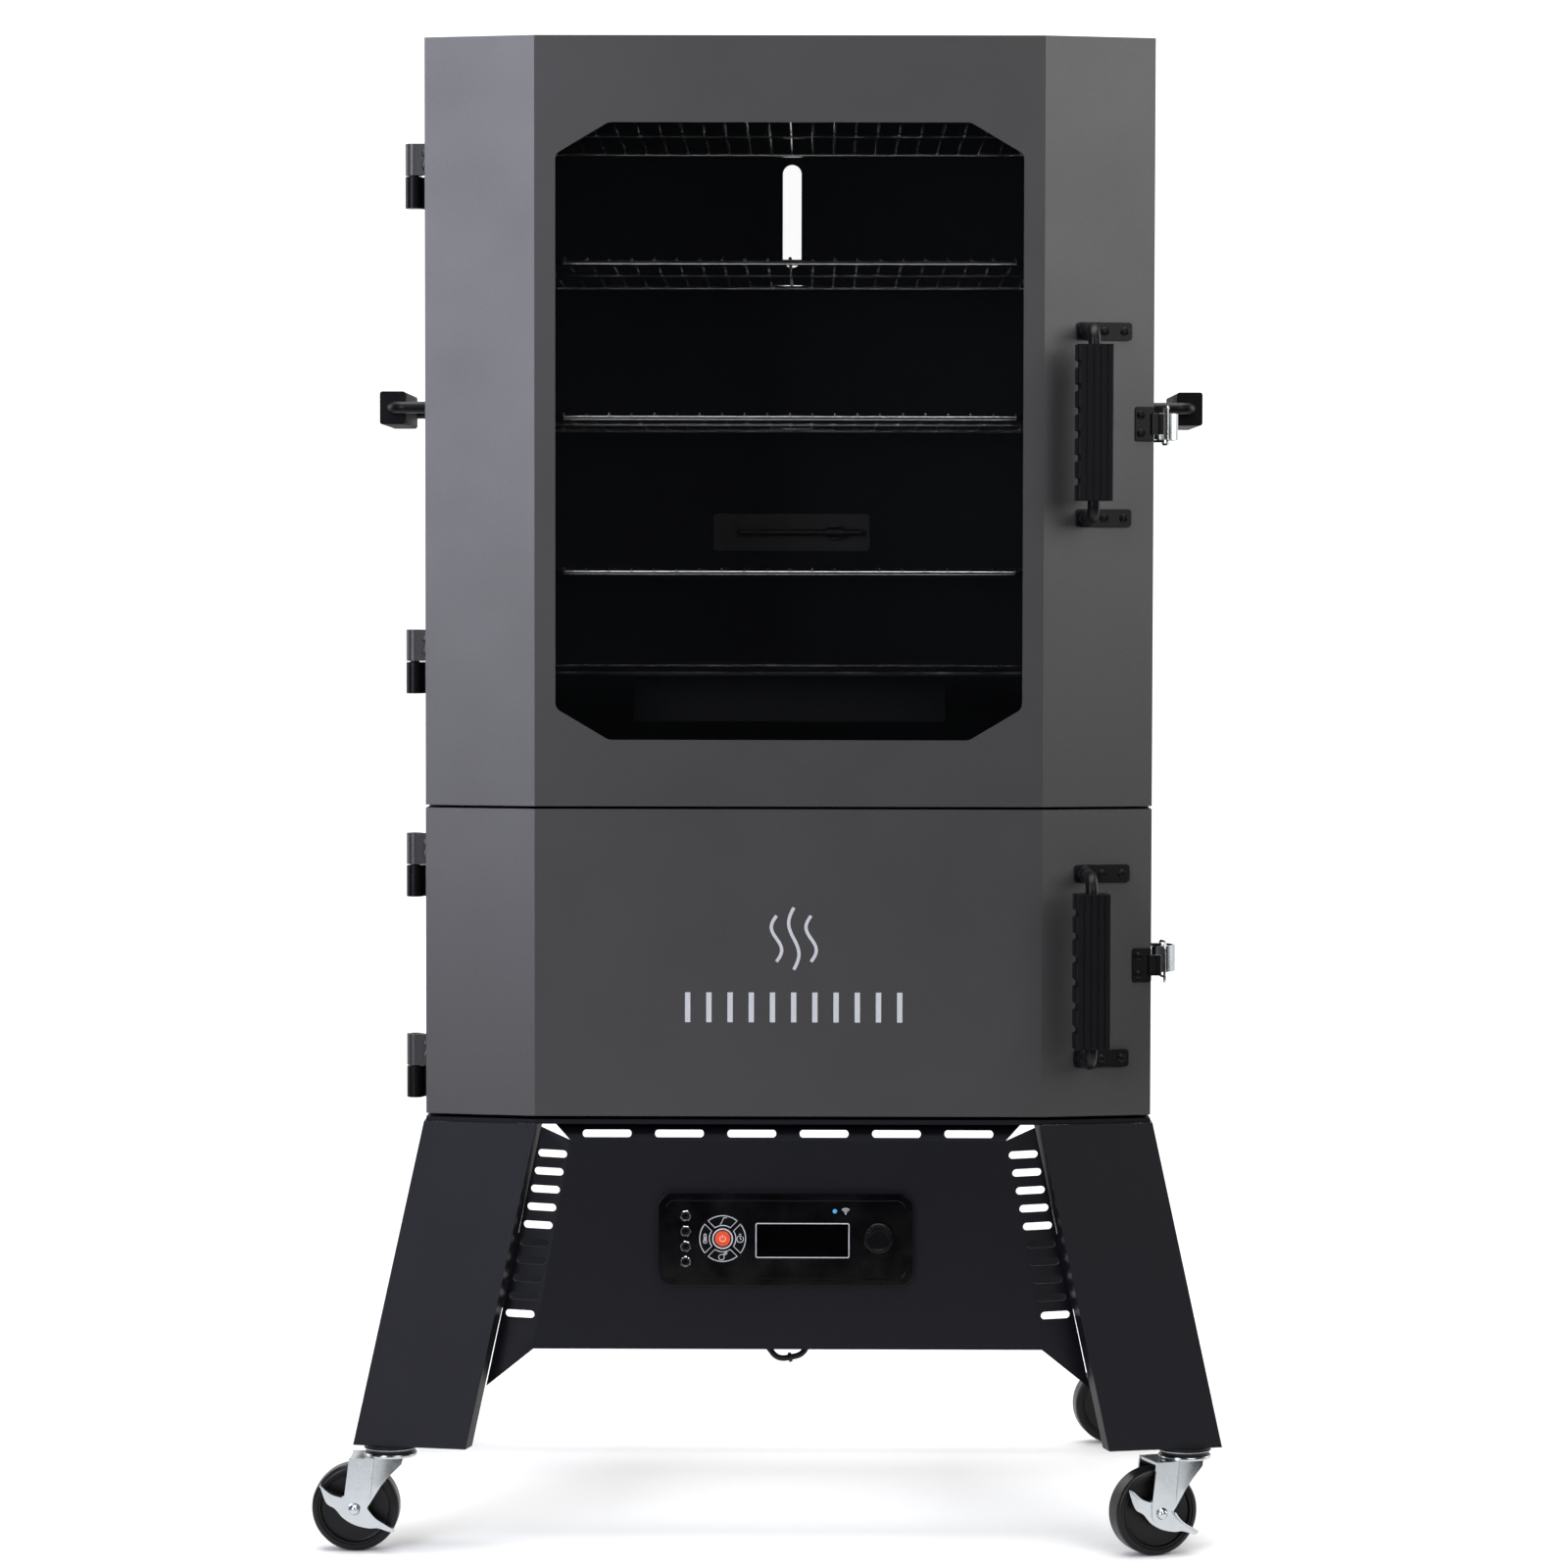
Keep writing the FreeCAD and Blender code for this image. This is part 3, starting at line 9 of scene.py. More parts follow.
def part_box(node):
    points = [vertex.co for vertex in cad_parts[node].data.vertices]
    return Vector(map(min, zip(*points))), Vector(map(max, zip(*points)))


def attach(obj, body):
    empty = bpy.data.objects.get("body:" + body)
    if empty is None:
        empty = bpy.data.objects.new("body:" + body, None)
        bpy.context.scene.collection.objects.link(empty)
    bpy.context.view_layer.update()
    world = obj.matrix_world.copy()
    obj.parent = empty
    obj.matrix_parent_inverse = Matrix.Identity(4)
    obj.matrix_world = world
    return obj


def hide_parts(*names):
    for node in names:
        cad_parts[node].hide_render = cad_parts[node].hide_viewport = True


# An electric cabinet smoker on a splayed stand. Metres, +Z up, front at -Y, +X to the right.

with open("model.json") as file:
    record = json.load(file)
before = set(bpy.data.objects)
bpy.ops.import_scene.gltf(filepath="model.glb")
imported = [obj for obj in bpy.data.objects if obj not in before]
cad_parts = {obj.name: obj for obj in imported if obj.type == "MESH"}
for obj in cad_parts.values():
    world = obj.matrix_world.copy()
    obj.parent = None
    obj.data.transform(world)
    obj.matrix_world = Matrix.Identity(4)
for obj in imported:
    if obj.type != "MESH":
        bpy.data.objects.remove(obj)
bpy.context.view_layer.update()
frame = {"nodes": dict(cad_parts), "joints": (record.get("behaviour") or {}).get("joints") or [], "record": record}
nodes = frame["nodes"]
MM = 0.001


# ---------------------------------------------------------------- node materials


def add_node(tree, kind, inputs=None, **settings):
    """A shader node with its settings, and its inputs either linked or set."""
    item = tree.nodes.new(kind)
    for key, value in settings.items():
        setattr(item, key, value)
    for key, value in (inputs or {}).items():
        if isinstance(value, bpy.types.NodeSocket):
            tree.links.new(value, item.inputs[key])
        else:
            item.inputs[key].default_value = value
    return item


def start_material(name, colour, metallic=0.0, specular=0.5):
    """A material, its node tree, its shader, and the object's own coordinates."""
    material = bpy.data.materials.new(name)
    material.use_nodes = True
    tree = material.node_tree
    shader = tree.nodes["Principled BSDF"]
    shader.inputs["Base Color"].default_value = (*colour, 1.0)
    shader.inputs["Metallic"].default_value = metallic
    shader.inputs["Specular IOR Level"].default_value = specular
    place = add_node(tree, "ShaderNodeTexCoord").outputs["Object"]
    return material, tree, shader, place


def noise(tree, place, scale, detail=3.0, rough=0.5):
    """A cloudy value from 0 to 1; scale is in clouds to the metre."""
    inputs = {"Vector": place, "Scale": scale, "Detail": detail, "Roughness": rough}
    return add_node(tree, "ShaderNodeTexNoise", inputs).outputs["Fac"]


def ranged(tree, value, low, high, start=0.3, end=0.7):
    """A value between start and end, stretched to run from low to high."""
    inputs = {"Value": value, "From Min": start, "From Max": end, "To Min": low, "To Max": high}
    return add_node(tree, "ShaderNodeMapRange", inputs).outputs["Result"]


def tinted(tree, factor, first, second):
    """A blend of two colours, each one a tuple or a socket."""
    mix = add_node(tree, "ShaderNodeMix", data_type="RGBA")
    tree.links.new(factor, mix.inputs["Factor"])
    for socket, colour in (("A", first), ("B", second)):
        found = [s for s in mix.inputs if s.name == socket and s.type == "RGBA"][0]
        if isinstance(colour, bpy.types.NodeSocket):
            tree.links.new(colour, found)
        else:
            found.default_value = (*colour, 1.0)
    return [s for s in mix.outputs if s.type == "RGBA"][0]


def scaled(colour, factor):
    return tuple(min(1.0, channel * factor) for channel in colour)


def bumped(tree, shader, height, strength, distance, under=None):
    """Relief on the shader, on top of another relief where one is given."""
    inputs = {"Height": height, "Strength": strength, "Distance": distance}
    if under is not None:
        inputs["Normal"] = under
    bump = add_node(tree, "ShaderNodeBump", inputs)
    tree.links.new(bump.outputs["Normal"], shader.inputs["Normal"])
    return bump.outputs["Normal"]


def coated(name, colour, rough, metallic=0.0, grain=900.0, relief=0.25, spread=0.12, specks=0.0,
           specular=0.5):
    """Powder coat: orange peel, fine grain, slow colour drift and, where asked for, metal flakes."""
    material, tree, shader, place = start_material(name, colour, metallic, specular)
    drift = noise(tree, place, scale=5.0, detail=4.0)
    body = tinted(tree, drift, scaled(colour, 1 - spread), scaled(colour, 1 + spread))
    fine = noise(tree, place, grain, detail=2.0)
    body = tinted(tree, ranged(tree, fine, 0.0, 0.35), body, scaled(colour, 1.6))
    if specks:
        cells = add_node(tree, "ShaderNodeTexVoronoi", {"Vector": place, "Scale": grain * 1.3})
        flake = ranged(tree, cells.outputs["Distance"], specks, 0.0, start=0.02, end=0.22)
        body = tinted(tree, flake, body, scaled(colour, 5.0))
    tree.links.new(body, shader.inputs["Base Color"])
    patch = noise(tree, place, scale=14.0, detail=5.0, rough=0.6)
    tree.links.new(ranged(tree, patch, rough - 0.012, rough + 0.018), shader.inputs["Roughness"])
    lumps = noise(tree, place, grain * 0.75, detail=1.0)
    peel = bumped(tree, shader, lumps, relief, distance=0.2 * MM)
    bumped(tree, shader, fine, relief, distance=0.1 * MM, under=peel)
    return material


def moulded(name, colour, rough, grain=1600.0, relief=0.3, specular=0.3):
    """Moulded plastic: spark-eroded grain with faint handling marks."""
    material, tree, shader, place = start_material(name, colour, 0.0, specular)
    marks = noise(tree, place, scale=30.0, detail=6.0, rough=0.65)
    body = tinted(tree, marks, scaled(colour, 0.8), scaled(colour, 1.35))
    tree.links.new(body, shader.inputs["Base Color"])
    tree.links.new(ranged(tree, marks, rough - 0.05, rough + 0.08), shader.inputs["Roughness"])
    cells = add_node(tree, "ShaderNodeTexVoronoi", {"Vector": place, "Scale": grain})
    bumped(tree, shader, cells.outputs["Distance"], relief, distance=0.2 * MM)
    return material


def bare_metal(name, colour, rough, scale, tarnish, spangle=0.0):
    """Plated or bare steel: a slow stain, fine grain and, where asked for, zinc's spangle."""
    material, tree, shader, place = start_material(name, colour, 1.0)
    stain = noise(tree, place, scale, detail=5.0, rough=0.6)
    body = tinted(tree, stain, scaled(colour, 1 - tarnish), scaled(colour, 1 + tarnish))
    if spangle:
        crystals = {"Vector": place, "Scale": scale * 5}
        cells = add_node(tree, "ShaderNodeTexVoronoi", crystals, feature="SMOOTH_F1")
        edges = ranged(tree, cells.outputs["Distance"], 0.0, spangle, start=0.0, end=1.0)
        body = tinted(tree, edges, body, scaled(colour, 0.85))
    tree.links.new(body, shader.inputs["Base Color"])
    tree.links.new(ranged(tree, stain, rough - 0.06, rough + 0.1), shader.inputs["Roughness"])
    grain = noise(tree, place, scale=700.0, detail=3.0, rough=0.6)
    bumped(tree, shader, grain, strength=0.12, distance=0.2 * MM)
    return material


def make_glass_material():
    """Tinted tempered glass with faint smears: light goes straight through the thin pane."""
    material, tree, shader, place = start_material("dark_glass", (0.003, 0.004, 0.005))
    shader.inputs["Alpha"].default_value = 0.14
    shader.inputs["IOR"].default_value = 2.4
    smear = noise(tree, place, scale=9.0, detail=5.0, rough=0.6)
    polish = ranged(tree, smear, 0.02, 0.06, start=0.45, end=0.8)
    tree.links.new(polish, shader.inputs["Roughness"])
    tint = tinted(tree, smear, (0.002, 0.0025, 0.0035), (0.004, 0.005, 0.006))
    tree.links.new(tint, shader.inputs["Base Color"])
    return material


def make_rope_material():
    """Rope with a diagonal weave."""
    material, tree, shader, place = start_material("woven_rope", (0.03, 0.03, 0.03))
    strands = {"Vector": place, "Scale": 260.0, "Distortion": 2.0}
    weave = add_node(tree, "ShaderNodeTexWave", strands, bands_direction="DIAGONAL").outputs["Fac"]
    body = tinted(tree, weave, (0.012, 0.012, 0.012), (0.06, 0.058, 0.055))
    tree.links.new(body, shader.inputs["Base Color"])
    shader.inputs["Roughness"].default_value = 0.9
    bumped(tree, shader, weave, strength=0.6, distance=0.6 * MM)
    return material


def make_lit_material():
    """The power button: orange-red, a little lit from inside."""
    material, tree, shader, place = start_material("lit_button", (0.5, 0.05, 0.02))
    glow = noise(tree, place, scale=300.0, detail=2.0)
    colour = tinted(tree, glow, (0.42, 0.035, 0.015), (0.6, 0.075, 0.025))
    tree.links.new(colour, shader.inputs["Base Color"])
    tree.links.new(colour, shader.inputs["Emission Color"])
    shader.inputs["Emission Strength"].default_value = 0.3
    shader.inputs["Roughness"].default_value = 0.35
    bumped(tree, shader, glow, strength=0.1, distance=0.2 * MM)
    return material


MATERIALS = {
    # name, colour, roughness, then what sets it apart; grain and scale are per metre
    "door_paint": coated(
        "door_paint", (0.0415, 0.0392, 0.0388), 0.38, metallic=0.3, grain=1000, relief=0.2,
        spread=0.03, specks=0.35, specular=0.8,
    ),
    "black_paint": coated(
        "black_paint", (0.0048, 0.005, 0.0068), 0.44, grain=800, relief=0.3, spread=0.15,
        specular=0.15,
    ),
    "inner_enamel": coated(
        "inner_enamel", (0.0014, 0.0014, 0.0018), 0.5, grain=500, relief=0.1, spread=0.2,
        specular=0.12,
    ),
    "black_steel": coated(
        "black_steel", (0.003, 0.003, 0.0036), 0.36, spread=0.15, specular=0.17
    ),
    "print": coated("pale_print", (0.42, 0.43, 0.45), 0.55, grain=1200, relief=0.15, spread=0.05),
    "warm_print": coated("warm_print", (0.9, 0.42, 0.3), 0.5, grain=1200, relief=0.1, spread=0.05),
    "blue_print": coated(
        "blue_print", (0.05, 0.28, 0.5), 0.55, grain=1200, relief=0.15, spread=0.05
    ),
    "black_plastic": moulded(
        "black_plastic", (0.0012, 0.0012, 0.0016), 0.3, grain=2200, relief=0.12, specular=0.14
    ),
    "bezel": moulded(
        "bezel_plastic", (0.0005, 0.0005, 0.0008), 0.15, grain=2200, relief=0.06, specular=0.5
    ),
    "gloss_black": moulded(
        "gloss_black", (0.0004, 0.0004, 0.0005), 0.1, grain=3000, relief=0.03, specular=0.2
    ),
    "grip_plastic": moulded(
        "grip_plastic", (0.0022, 0.0022, 0.0034), 0.5, grain=1300, relief=0.4, specular=0.13
    ),
    "wheel_plastic": moulded(
        "wheel_plastic", (0.002, 0.002, 0.0023), 0.34, grain=900, relief=0.25, specular=0.22
    ),
    "lead": moulded("lead", (0.006, 0.006, 0.006), 0.5, grain=1500, relief=0.2),
    "zinc": bare_metal("zinc", (0.47, 0.495, 0.51), 0.2, scale=50, tarnish=0.06, spangle=0.15),
    "wire_steel": bare_metal("wire_steel", (0.62, 0.62, 0.625), 0.13, scale=40, tarnish=0.05),
    "heater_steel": bare_metal("heater_steel", (0.16, 0.14, 0.13), 0.4, scale=25, tarnish=0.35),
    "sensor_steel": bare_metal("sensor_steel", (0.07, 0.068, 0.066), 0.42, scale=25, tarnish=0.2),
    "glass": make_glass_material(),
    "rope": make_rope_material(),
    "power_red": make_lit_material(),
}

slot_of = {part["node"]: part["material_slot"] for part in frame["record"]["subparts"]}
body_of = {}
for body_name, members in frame["record"]["behaviour"]["bodies"].items():
    for member in members:
        body_of[member] = body_name


# ---------------------------------------------------------------- mesh helpers


# The angles in degrees where an edge is shaded sharp, rounded, or dissolved as flat.
SHARP_EDGE = 32.0
SOFT_EDGE = 28.0
FLAT_EDGE = 0.4
SAME_POINT = 0.001 * MM


def new_object(name, data):
    item = bpy.data.objects.new(name, data)
    bpy.context.scene.collection.objects.link(item)
    return item


def finish_mesh(item, sharp=SHARP_EDGE):
    """Smooth shading with sharp edges kept, and flat faces kept flat beside rounded ones."""
    work = bmesh.new()
    work.from_mesh(item.data)
    limit = math.radians(sharp)
    for face in work.faces:
        face.smooth = True
    for edge in work.edges:
        edge.smooth = edge.is_manifold and edge.calc_face_angle(0.0) < limit
    work.to_mesh(item.data)
    work.free()
    weigh = item.modifiers.new("weighted", "WEIGHTED_NORMAL")
    weigh.keep_sharp = True


def add_piece(name, mesh, body, slot, material=None, sharp=SHARP_EDGE):
    """A visual piece on a CAD body; its material is its slot's unless another is named."""
    item = new_object(name, mesh)
    item.data.materials.clear()
    item.data.materials.append(MATERIALS[material or slot])
    finish_mesh(item, sharp)
    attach(item, body)
    return item


def bevel_sharp(work, angle, width):
    """Round every edge that turns by more than an angle in degrees."""
    limit = math.radians(angle)
    edges = [e for e in work.edges if e.is_manifold and e.calc_face_angle(0.0) > limit]
    bmesh.ops.bevel(
        work, geom=edges, offset=width, offset_type="OFFSET", segments=2, profile=0.5,
        affect="EDGES", clamp_overlap=True,
    )


def welded(node):
    """A CAD node's mesh as a bmesh, its faces joined where their corners meet."""
    work = bmesh.new()
    work.from_mesh(nodes[node].data)
    bmesh.ops.remove_doubles(work, verts=work.verts, dist=SAME_POINT)
    return work


def softened(node, width, angle=SOFT_EDGE, material=None):
    """A CAD node's shape with every sharp edge rounded, in place of the node."""
    work = welded(node)
    flat = math.radians(FLAT_EDGE)
    bmesh.ops.dissolve_limit(work, angle_limit=flat, verts=work.verts, edges=work.edges)
    bevel_sharp(work, angle, width)
    item = add_piece(
        f"{node}_rounded", to_mesh(work, node), body_of[node], slot_of[node], material
    )
    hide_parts(node)


def islands(node):
    """The separate solids of a CAD node, each as a list of points, from the bottom up."""
    work = welded(node)
    seen = set()
    groups = []
    for first in work.verts:
        if first in seen:
            continue
        seen.add(first)
        stack = [first]
        group = []
        while stack:
            vert = stack.pop()
            group.append(vert.co.copy())
            for edge in vert.link_edges:
                other = edge.other_vert(vert)
                if other not in seen:
                    seen.add(other)
                    stack.append(other)
        groups.append(group)
    work.free()
    groups.sort(key=lambda g: (round(sum(p.z for p in g) / len(g), 4), sum(p.x for p in g)))
    return groups


def extent(points):
    low = Vector([min(p[i] for p in points) for i in range(3)])
    high = Vector([max(p[i] for p in points) for i in range(3)])
    return low, high


def tubes(name, paths, radius, body, slot, material=None, closed=False, resolution=3, squash=None):
    """Round bars along lists of points; squash=(y, factor) flattens them onto a plane."""
    curve = bpy.data.curves.new(name, "CURVE")
    curve.dimensions = "3D"
    curve.bevel_depth = radius
    curve.bevel_resolution = resolution
    curve.use_fill_caps = True
    for points in paths:
        spline = curve.splines.new("POLY")
        spline.points.add(len(points) - 1)
        for target, point in zip(spline.points, points):
            target.co = (*point, 1.0)
        spline.use_cyclic_u = closed
    holder = bpy.data.objects.new(f"{name}_path", curve)
    mesh = bpy.data.meshes.new_from_object(holder)
    bpy.data.objects.remove(holder)
    if squash:
        plane, factor = squash
        for vert in mesh.vertices:
            vert.co.y = plane + (vert.co.y - plane) * factor
    return add_piece(name, mesh, body, slot, material)


def lathe(profile, sides=48, lobes=0, lobe_deep=0.0, lobed=(), closed=False):
    """A bmesh turned about +Z from (radius, height) points in mm; lobed rows get flutes.

    A closed profile makes a ring; an open one is capped at both ends."""
    work = bmesh.new()
    rings = []
    for row, (radius, height) in enumerate(profile):
        ring = []
        for i in range(sides):
            angle = 2 * math.pi * i / sides
            reach = radius * MM
            if row in lobed:
                reach -= lobe_deep * MM * (0.5 + 0.5 * math.cos(lobes * angle)) ** 2
            corner = (reach * math.cos(angle), reach * math.sin(angle), height * MM)
            ring.append(work.verts.new(corner))
        rings.append(ring)
    pairs = list(zip(rings, rings[1:]))
    if closed:
        pairs.append((rings[-1], rings[0]))
    for first, second in pairs:
        for i in range(sides):
            j = (i + 1) % sides
            work.faces.new((first[i], first[j], second[j], second[i]))
    if not closed:
        work.faces.new(list(reversed(rings[0])))
        work.faces.new(rings[-1])
    bmesh.ops.recalc_face_normals(work, faces=work.faces)
    return work


def to_mesh(work, name, matrix=None):
    mesh = bpy.data.meshes.new(name)
    if matrix is not None:
        bmesh.ops.transform(work, matrix=matrix, verts=work.verts)
    work.to_mesh(mesh)
    work.free()
    return mesh


def gathered(name, meshes):
    """Several meshes as one."""
    work = bmesh.new()
    for mesh in meshes:
        work.from_mesh(mesh)
    return to_mesh(work, name)


FORWARD = Vector((0, -1, 0))
UP = Vector((0, 0, 1))


def facing(direction, at):
    """The matrix that stands +Z along a direction, at a point."""
    turn = Vector(direction).to_track_quat("Z", "Y").to_matrix().to_4x4()
    return Matrix.Translation(at) @ turn


def with_axes(x, y, z, at):
    """The matrix that turns the three axes to these directions, at a point."""
    return Matrix.Translation(at) @ Matrix((x, y, z)).transposed().to_4x4()


def arc_points(centre, radius, start, end, count, y):
    """Points of an arc in a plane that faces the front; angles in degrees from +X towards +Z."""
    points = []
    for i in range(count + 1):
        angle = math.radians(start + (end - start) * i / count)
        points.append((centre[0] + radius * math.cos(angle), y, centre[1] + radius * math.sin(angle)))
    return points


def rounded_path(corners, radius, level, steps=6):
    """A level closed path through (x, y) corners, each one bent to a radius."""
    points = []
    count = len(corners)
    for i in range(count):
        at = Vector(corners[i])
        back = (Vector(corners[i - 1]) - at).normalized()
        ahead = (Vector(corners[(i + 1) % count]) - at).normalized()
        half_turn = back.angle(ahead) / 2
        reach = radius / math.tan(half_turn)
        centre = at + (back + ahead).normalized() * (radius / math.sin(half_turn))
        start, end = at + back * reach - centre, at + ahead * reach - centre
        for k in range(steps + 1):
            spoke = start.lerp(end, k / steps).normalized() * radius
            points.append((centre.x + spoke.x, centre.y + spoke.y, level))
    return points


# ---------------------------------------------------------------- screws


# Radius and height of the screw heads in mm.
DOOR_SCREW = (3.7, 2.4)
PANEL_SCREW = (3.4, 2.0)
# A door's side facet falls back 20 mm over 96 mm.
FACET_ANGLE = math.atan2(20.0, 96.0)


def screw_template(radius, tall):
    """A domed head with a cross recess, standing on Z = 0."""
    profile = [(radius, 0.0), (radius, tall * 0.3)]
    for i in range(1, 7):
        angle = math.pi / 2 * i / 7
        profile.append((radius * math.cos(angle), tall * (0.3 + 0.7 * math.sin(angle))))
    blank = new_object("screw_blank", to_mesh(lathe(profile, 32), "screw_head"))
    extras = [blank]
    recess = Matrix.Diagonal((radius * 1.1 * MM, radius * 0.26 * MM, tall * 0.9 * MM, 1.0))
    for turn in (0, 90):
        work = bmesh.new()
        bmesh.ops.create_cube(work, size=1.0)
        turned = Matrix.Rotation(math.radians(turn), 4, "Z") @ recess
        place = Matrix.Translation((0, 0, tall * MM)) @ turned
        cutter = new_object("cutter", to_mesh(work, "cutter", place))
        extras.append(cutter)
        cut = blank.modifiers.new("cut", "BOOLEAN")
        cut.object = cutter
        cut.solver = "EXACT"
    depsgraph = bpy.context.evaluated_depsgraph_get()
    result = bpy.data.meshes.new_from_object(blank.evaluated_get(depsgraph))
    for extra in extras:
        bpy.data.objects.remove(extra)
    return result


def screw_head(template, out, foot, twist):
    """A copy of a head that stands on its foot, its cross turned by an angle in degrees."""
    head = template.copy()
    head.transform(facing(out, foot) @ Matrix.Rotation(math.radians(twist), 4, "Z"))
    return head


def outward(node, points):
    """Which way a screw faces: sideways on the cabinet, square to the facet on a door."""
    low, high = extent(points)
    if node == "cabinet_screws":
        return Vector((math.copysign(1, low.x + high.x), 0, 0))
    return Vector((math.sin(FACET_ANGLE), -math.cos(FACET_ANGLE), 0))


def make_screws():
    template = screw_template(*DOOR_SCREW)
    for node in ("upper_door_screws", "lower_door_screws", "cabinet_screws"):
        heads = []
        for i, points in enumerate(islands(node)):
            out = outward(node, points)
            middle = sum(points, Vector()) / len(points)
            drop = min((p - middle).dot(out) for p in points)
            heads.append(screw_head(template, out, middle + out * drop, 25 + 47 * i))
        item = add_piece(f"{node}_heads", gathered(node, heads), body_of[node], slot_of[node])
        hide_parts(node)


def make_panel_screws():
    """The row of screws that holds the back panel on, all the way round."""
    template = screw_template(*PANEL_SCREW)
    low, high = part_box("cabinet_back")
    inset = 11 * MM
    left, right = low.x + inset, high.x - inset
    bottom, top = low.z + inset, high.z - inset
    spots = []
    for i in range(7):
        z = bottom + (top - bottom) * i / 6
        spots += [(left, z), (right, z)]
    for i in range(1, 4):
        x = left + (right - left) * i / 4
        spots += [(x, bottom), (x, top)]
    heads = []
    for i, (x, z) in enumerate(spots):
        heads.append(screw_head(template, -FORWARD, (x, high.y, z), 31 * i))
    add_piece("back_panel_screws", gathered("panel_screws", heads), "cabinet", "black_steel")


# ---------------------------------------------------------------- casing, doors, stand


FOLD_RADIUS = 1.2 * MM
FOLD_ANGLE = 6.0
ROUNDED = {
    # node: radius of the rounded edges in mm
    "cabinet_side_left": 0.6, "cabinet_side_right": 0.6, "cabinet_back": 0.5, "cabinet_top": 0.6,
    "front_legs": 0.5, "rear_legs": 0.5, "stand_apron": 0.35, "rear_brace": 0.5,
    "cabinet_hinges": 0.5, "upper_handle_bar": 0.5, "lower_handle_bar": 0.5,
    "side_handle_bars": 0.5, "upper_handle_grip": 0.35, "lower_handle_grip": 0.35,
    "side_handle_grips": 0.35, "upper_keeper": 0.35, "lower_keeper": 0.35, "latch_bases": 0.4,
    "upper_latch_lever": 0.3, "lower_latch_lever": 0.3,
    "electronics_box": 1.2, "probe_button": 0.35, "timer_button": 0.35,
    "temperature_button": 0.35, "meat_button": 0.35, "water_pan": 0.4, "chip_tray": 0.4,
    "display_window": 0.2, "window_glass": 0.3,
    "upper_door_liner": 0.4, "lower_door_liner": 0.4, "front_frame": 0.4,
}


def soften_nodes():
    for node, radius in ROUNDED.items():
        softened(node, radius * MM)
    for door in ("upper_door", "lower_door"):
        softened(f"{door}_panel", FOLD_RADIUS, FOLD_ANGLE)
    softened("controller_bezel", 0.7 * MM, material="bezel")
    softened("temperature_sensor", 0.3 * MM, material="sensor_steel")


def make_grip_ends():
    """Smooth plates that close the grooves at both ends of the side grips."""
    plates = []
    for points in islands("side_handle_grips"):
        low, high = extent(points)
        middle = (low + high) / 2
        edge = rounded_rectangle((0, 0), high.x - low.x, high.z - low.z, 2.6 * MM, 0)
        outline = [Vector((x / MM, z / MM)) for x, y, z in edge]
        for y, out in ((low.y, -1), (high.y, 1)):
            place = with_axes((-out, 0, 0), UP, (0, out, 0), (middle.x, y, middle.z))
            plates.append(to_mesh(slab(outline, -2.2, 0.3, 0.5), "plate", place))
    add_piece("side_grip_ends", gathered("plates", plates), "cabinet", "grip_plastic")


# ---------------------------------------------------------------- control panel


PRINT_HALF = 0.36 * MM
PRINT_PROUD = 0.25


def printed(name, paths, y, body, material="print", half=PRINT_HALF, closed=False,
            slot="black_plastic"):
    """Pad-printed lines: thin strokes that stand less than a tenth of a millimetre off a face."""
    tubes(name, paths, half, body, slot, material, closed, 2, squash=(y, PRINT_PROUD))


def rounded_rectangle(centre, wide, tall, radius, y, count=5):
    points = []
    for turn, (sx, sz) in enumerate(((1, 1), (-1, 1), (-1, -1), (1, -1))):
        corner = (centre[0] + sx * (wide / 2 - radius), centre[1] + sz * (tall / 2 - radius))
        points += arc_points(corner, radius, 90 * turn, 90 * turn + 90, count, y)
    return points


def sector_outline(centre, inner, outer, gap, angle, y):
    """The outline of a ring's quarter, parted from its neighbours by an even gap."""
    wide_out = 45 - math.degrees(math.asin(gap / outer))
    wide_in = 45 - math.degrees(math.asin(gap / inner))
    points = arc_points(centre, outer, angle - wide_out, angle + wide_out, 16, y)
    return points + arc_points(centre, inner, angle + wide_in, angle - wide_in, 10, y)


ICON_REACH = 15.2 * MM


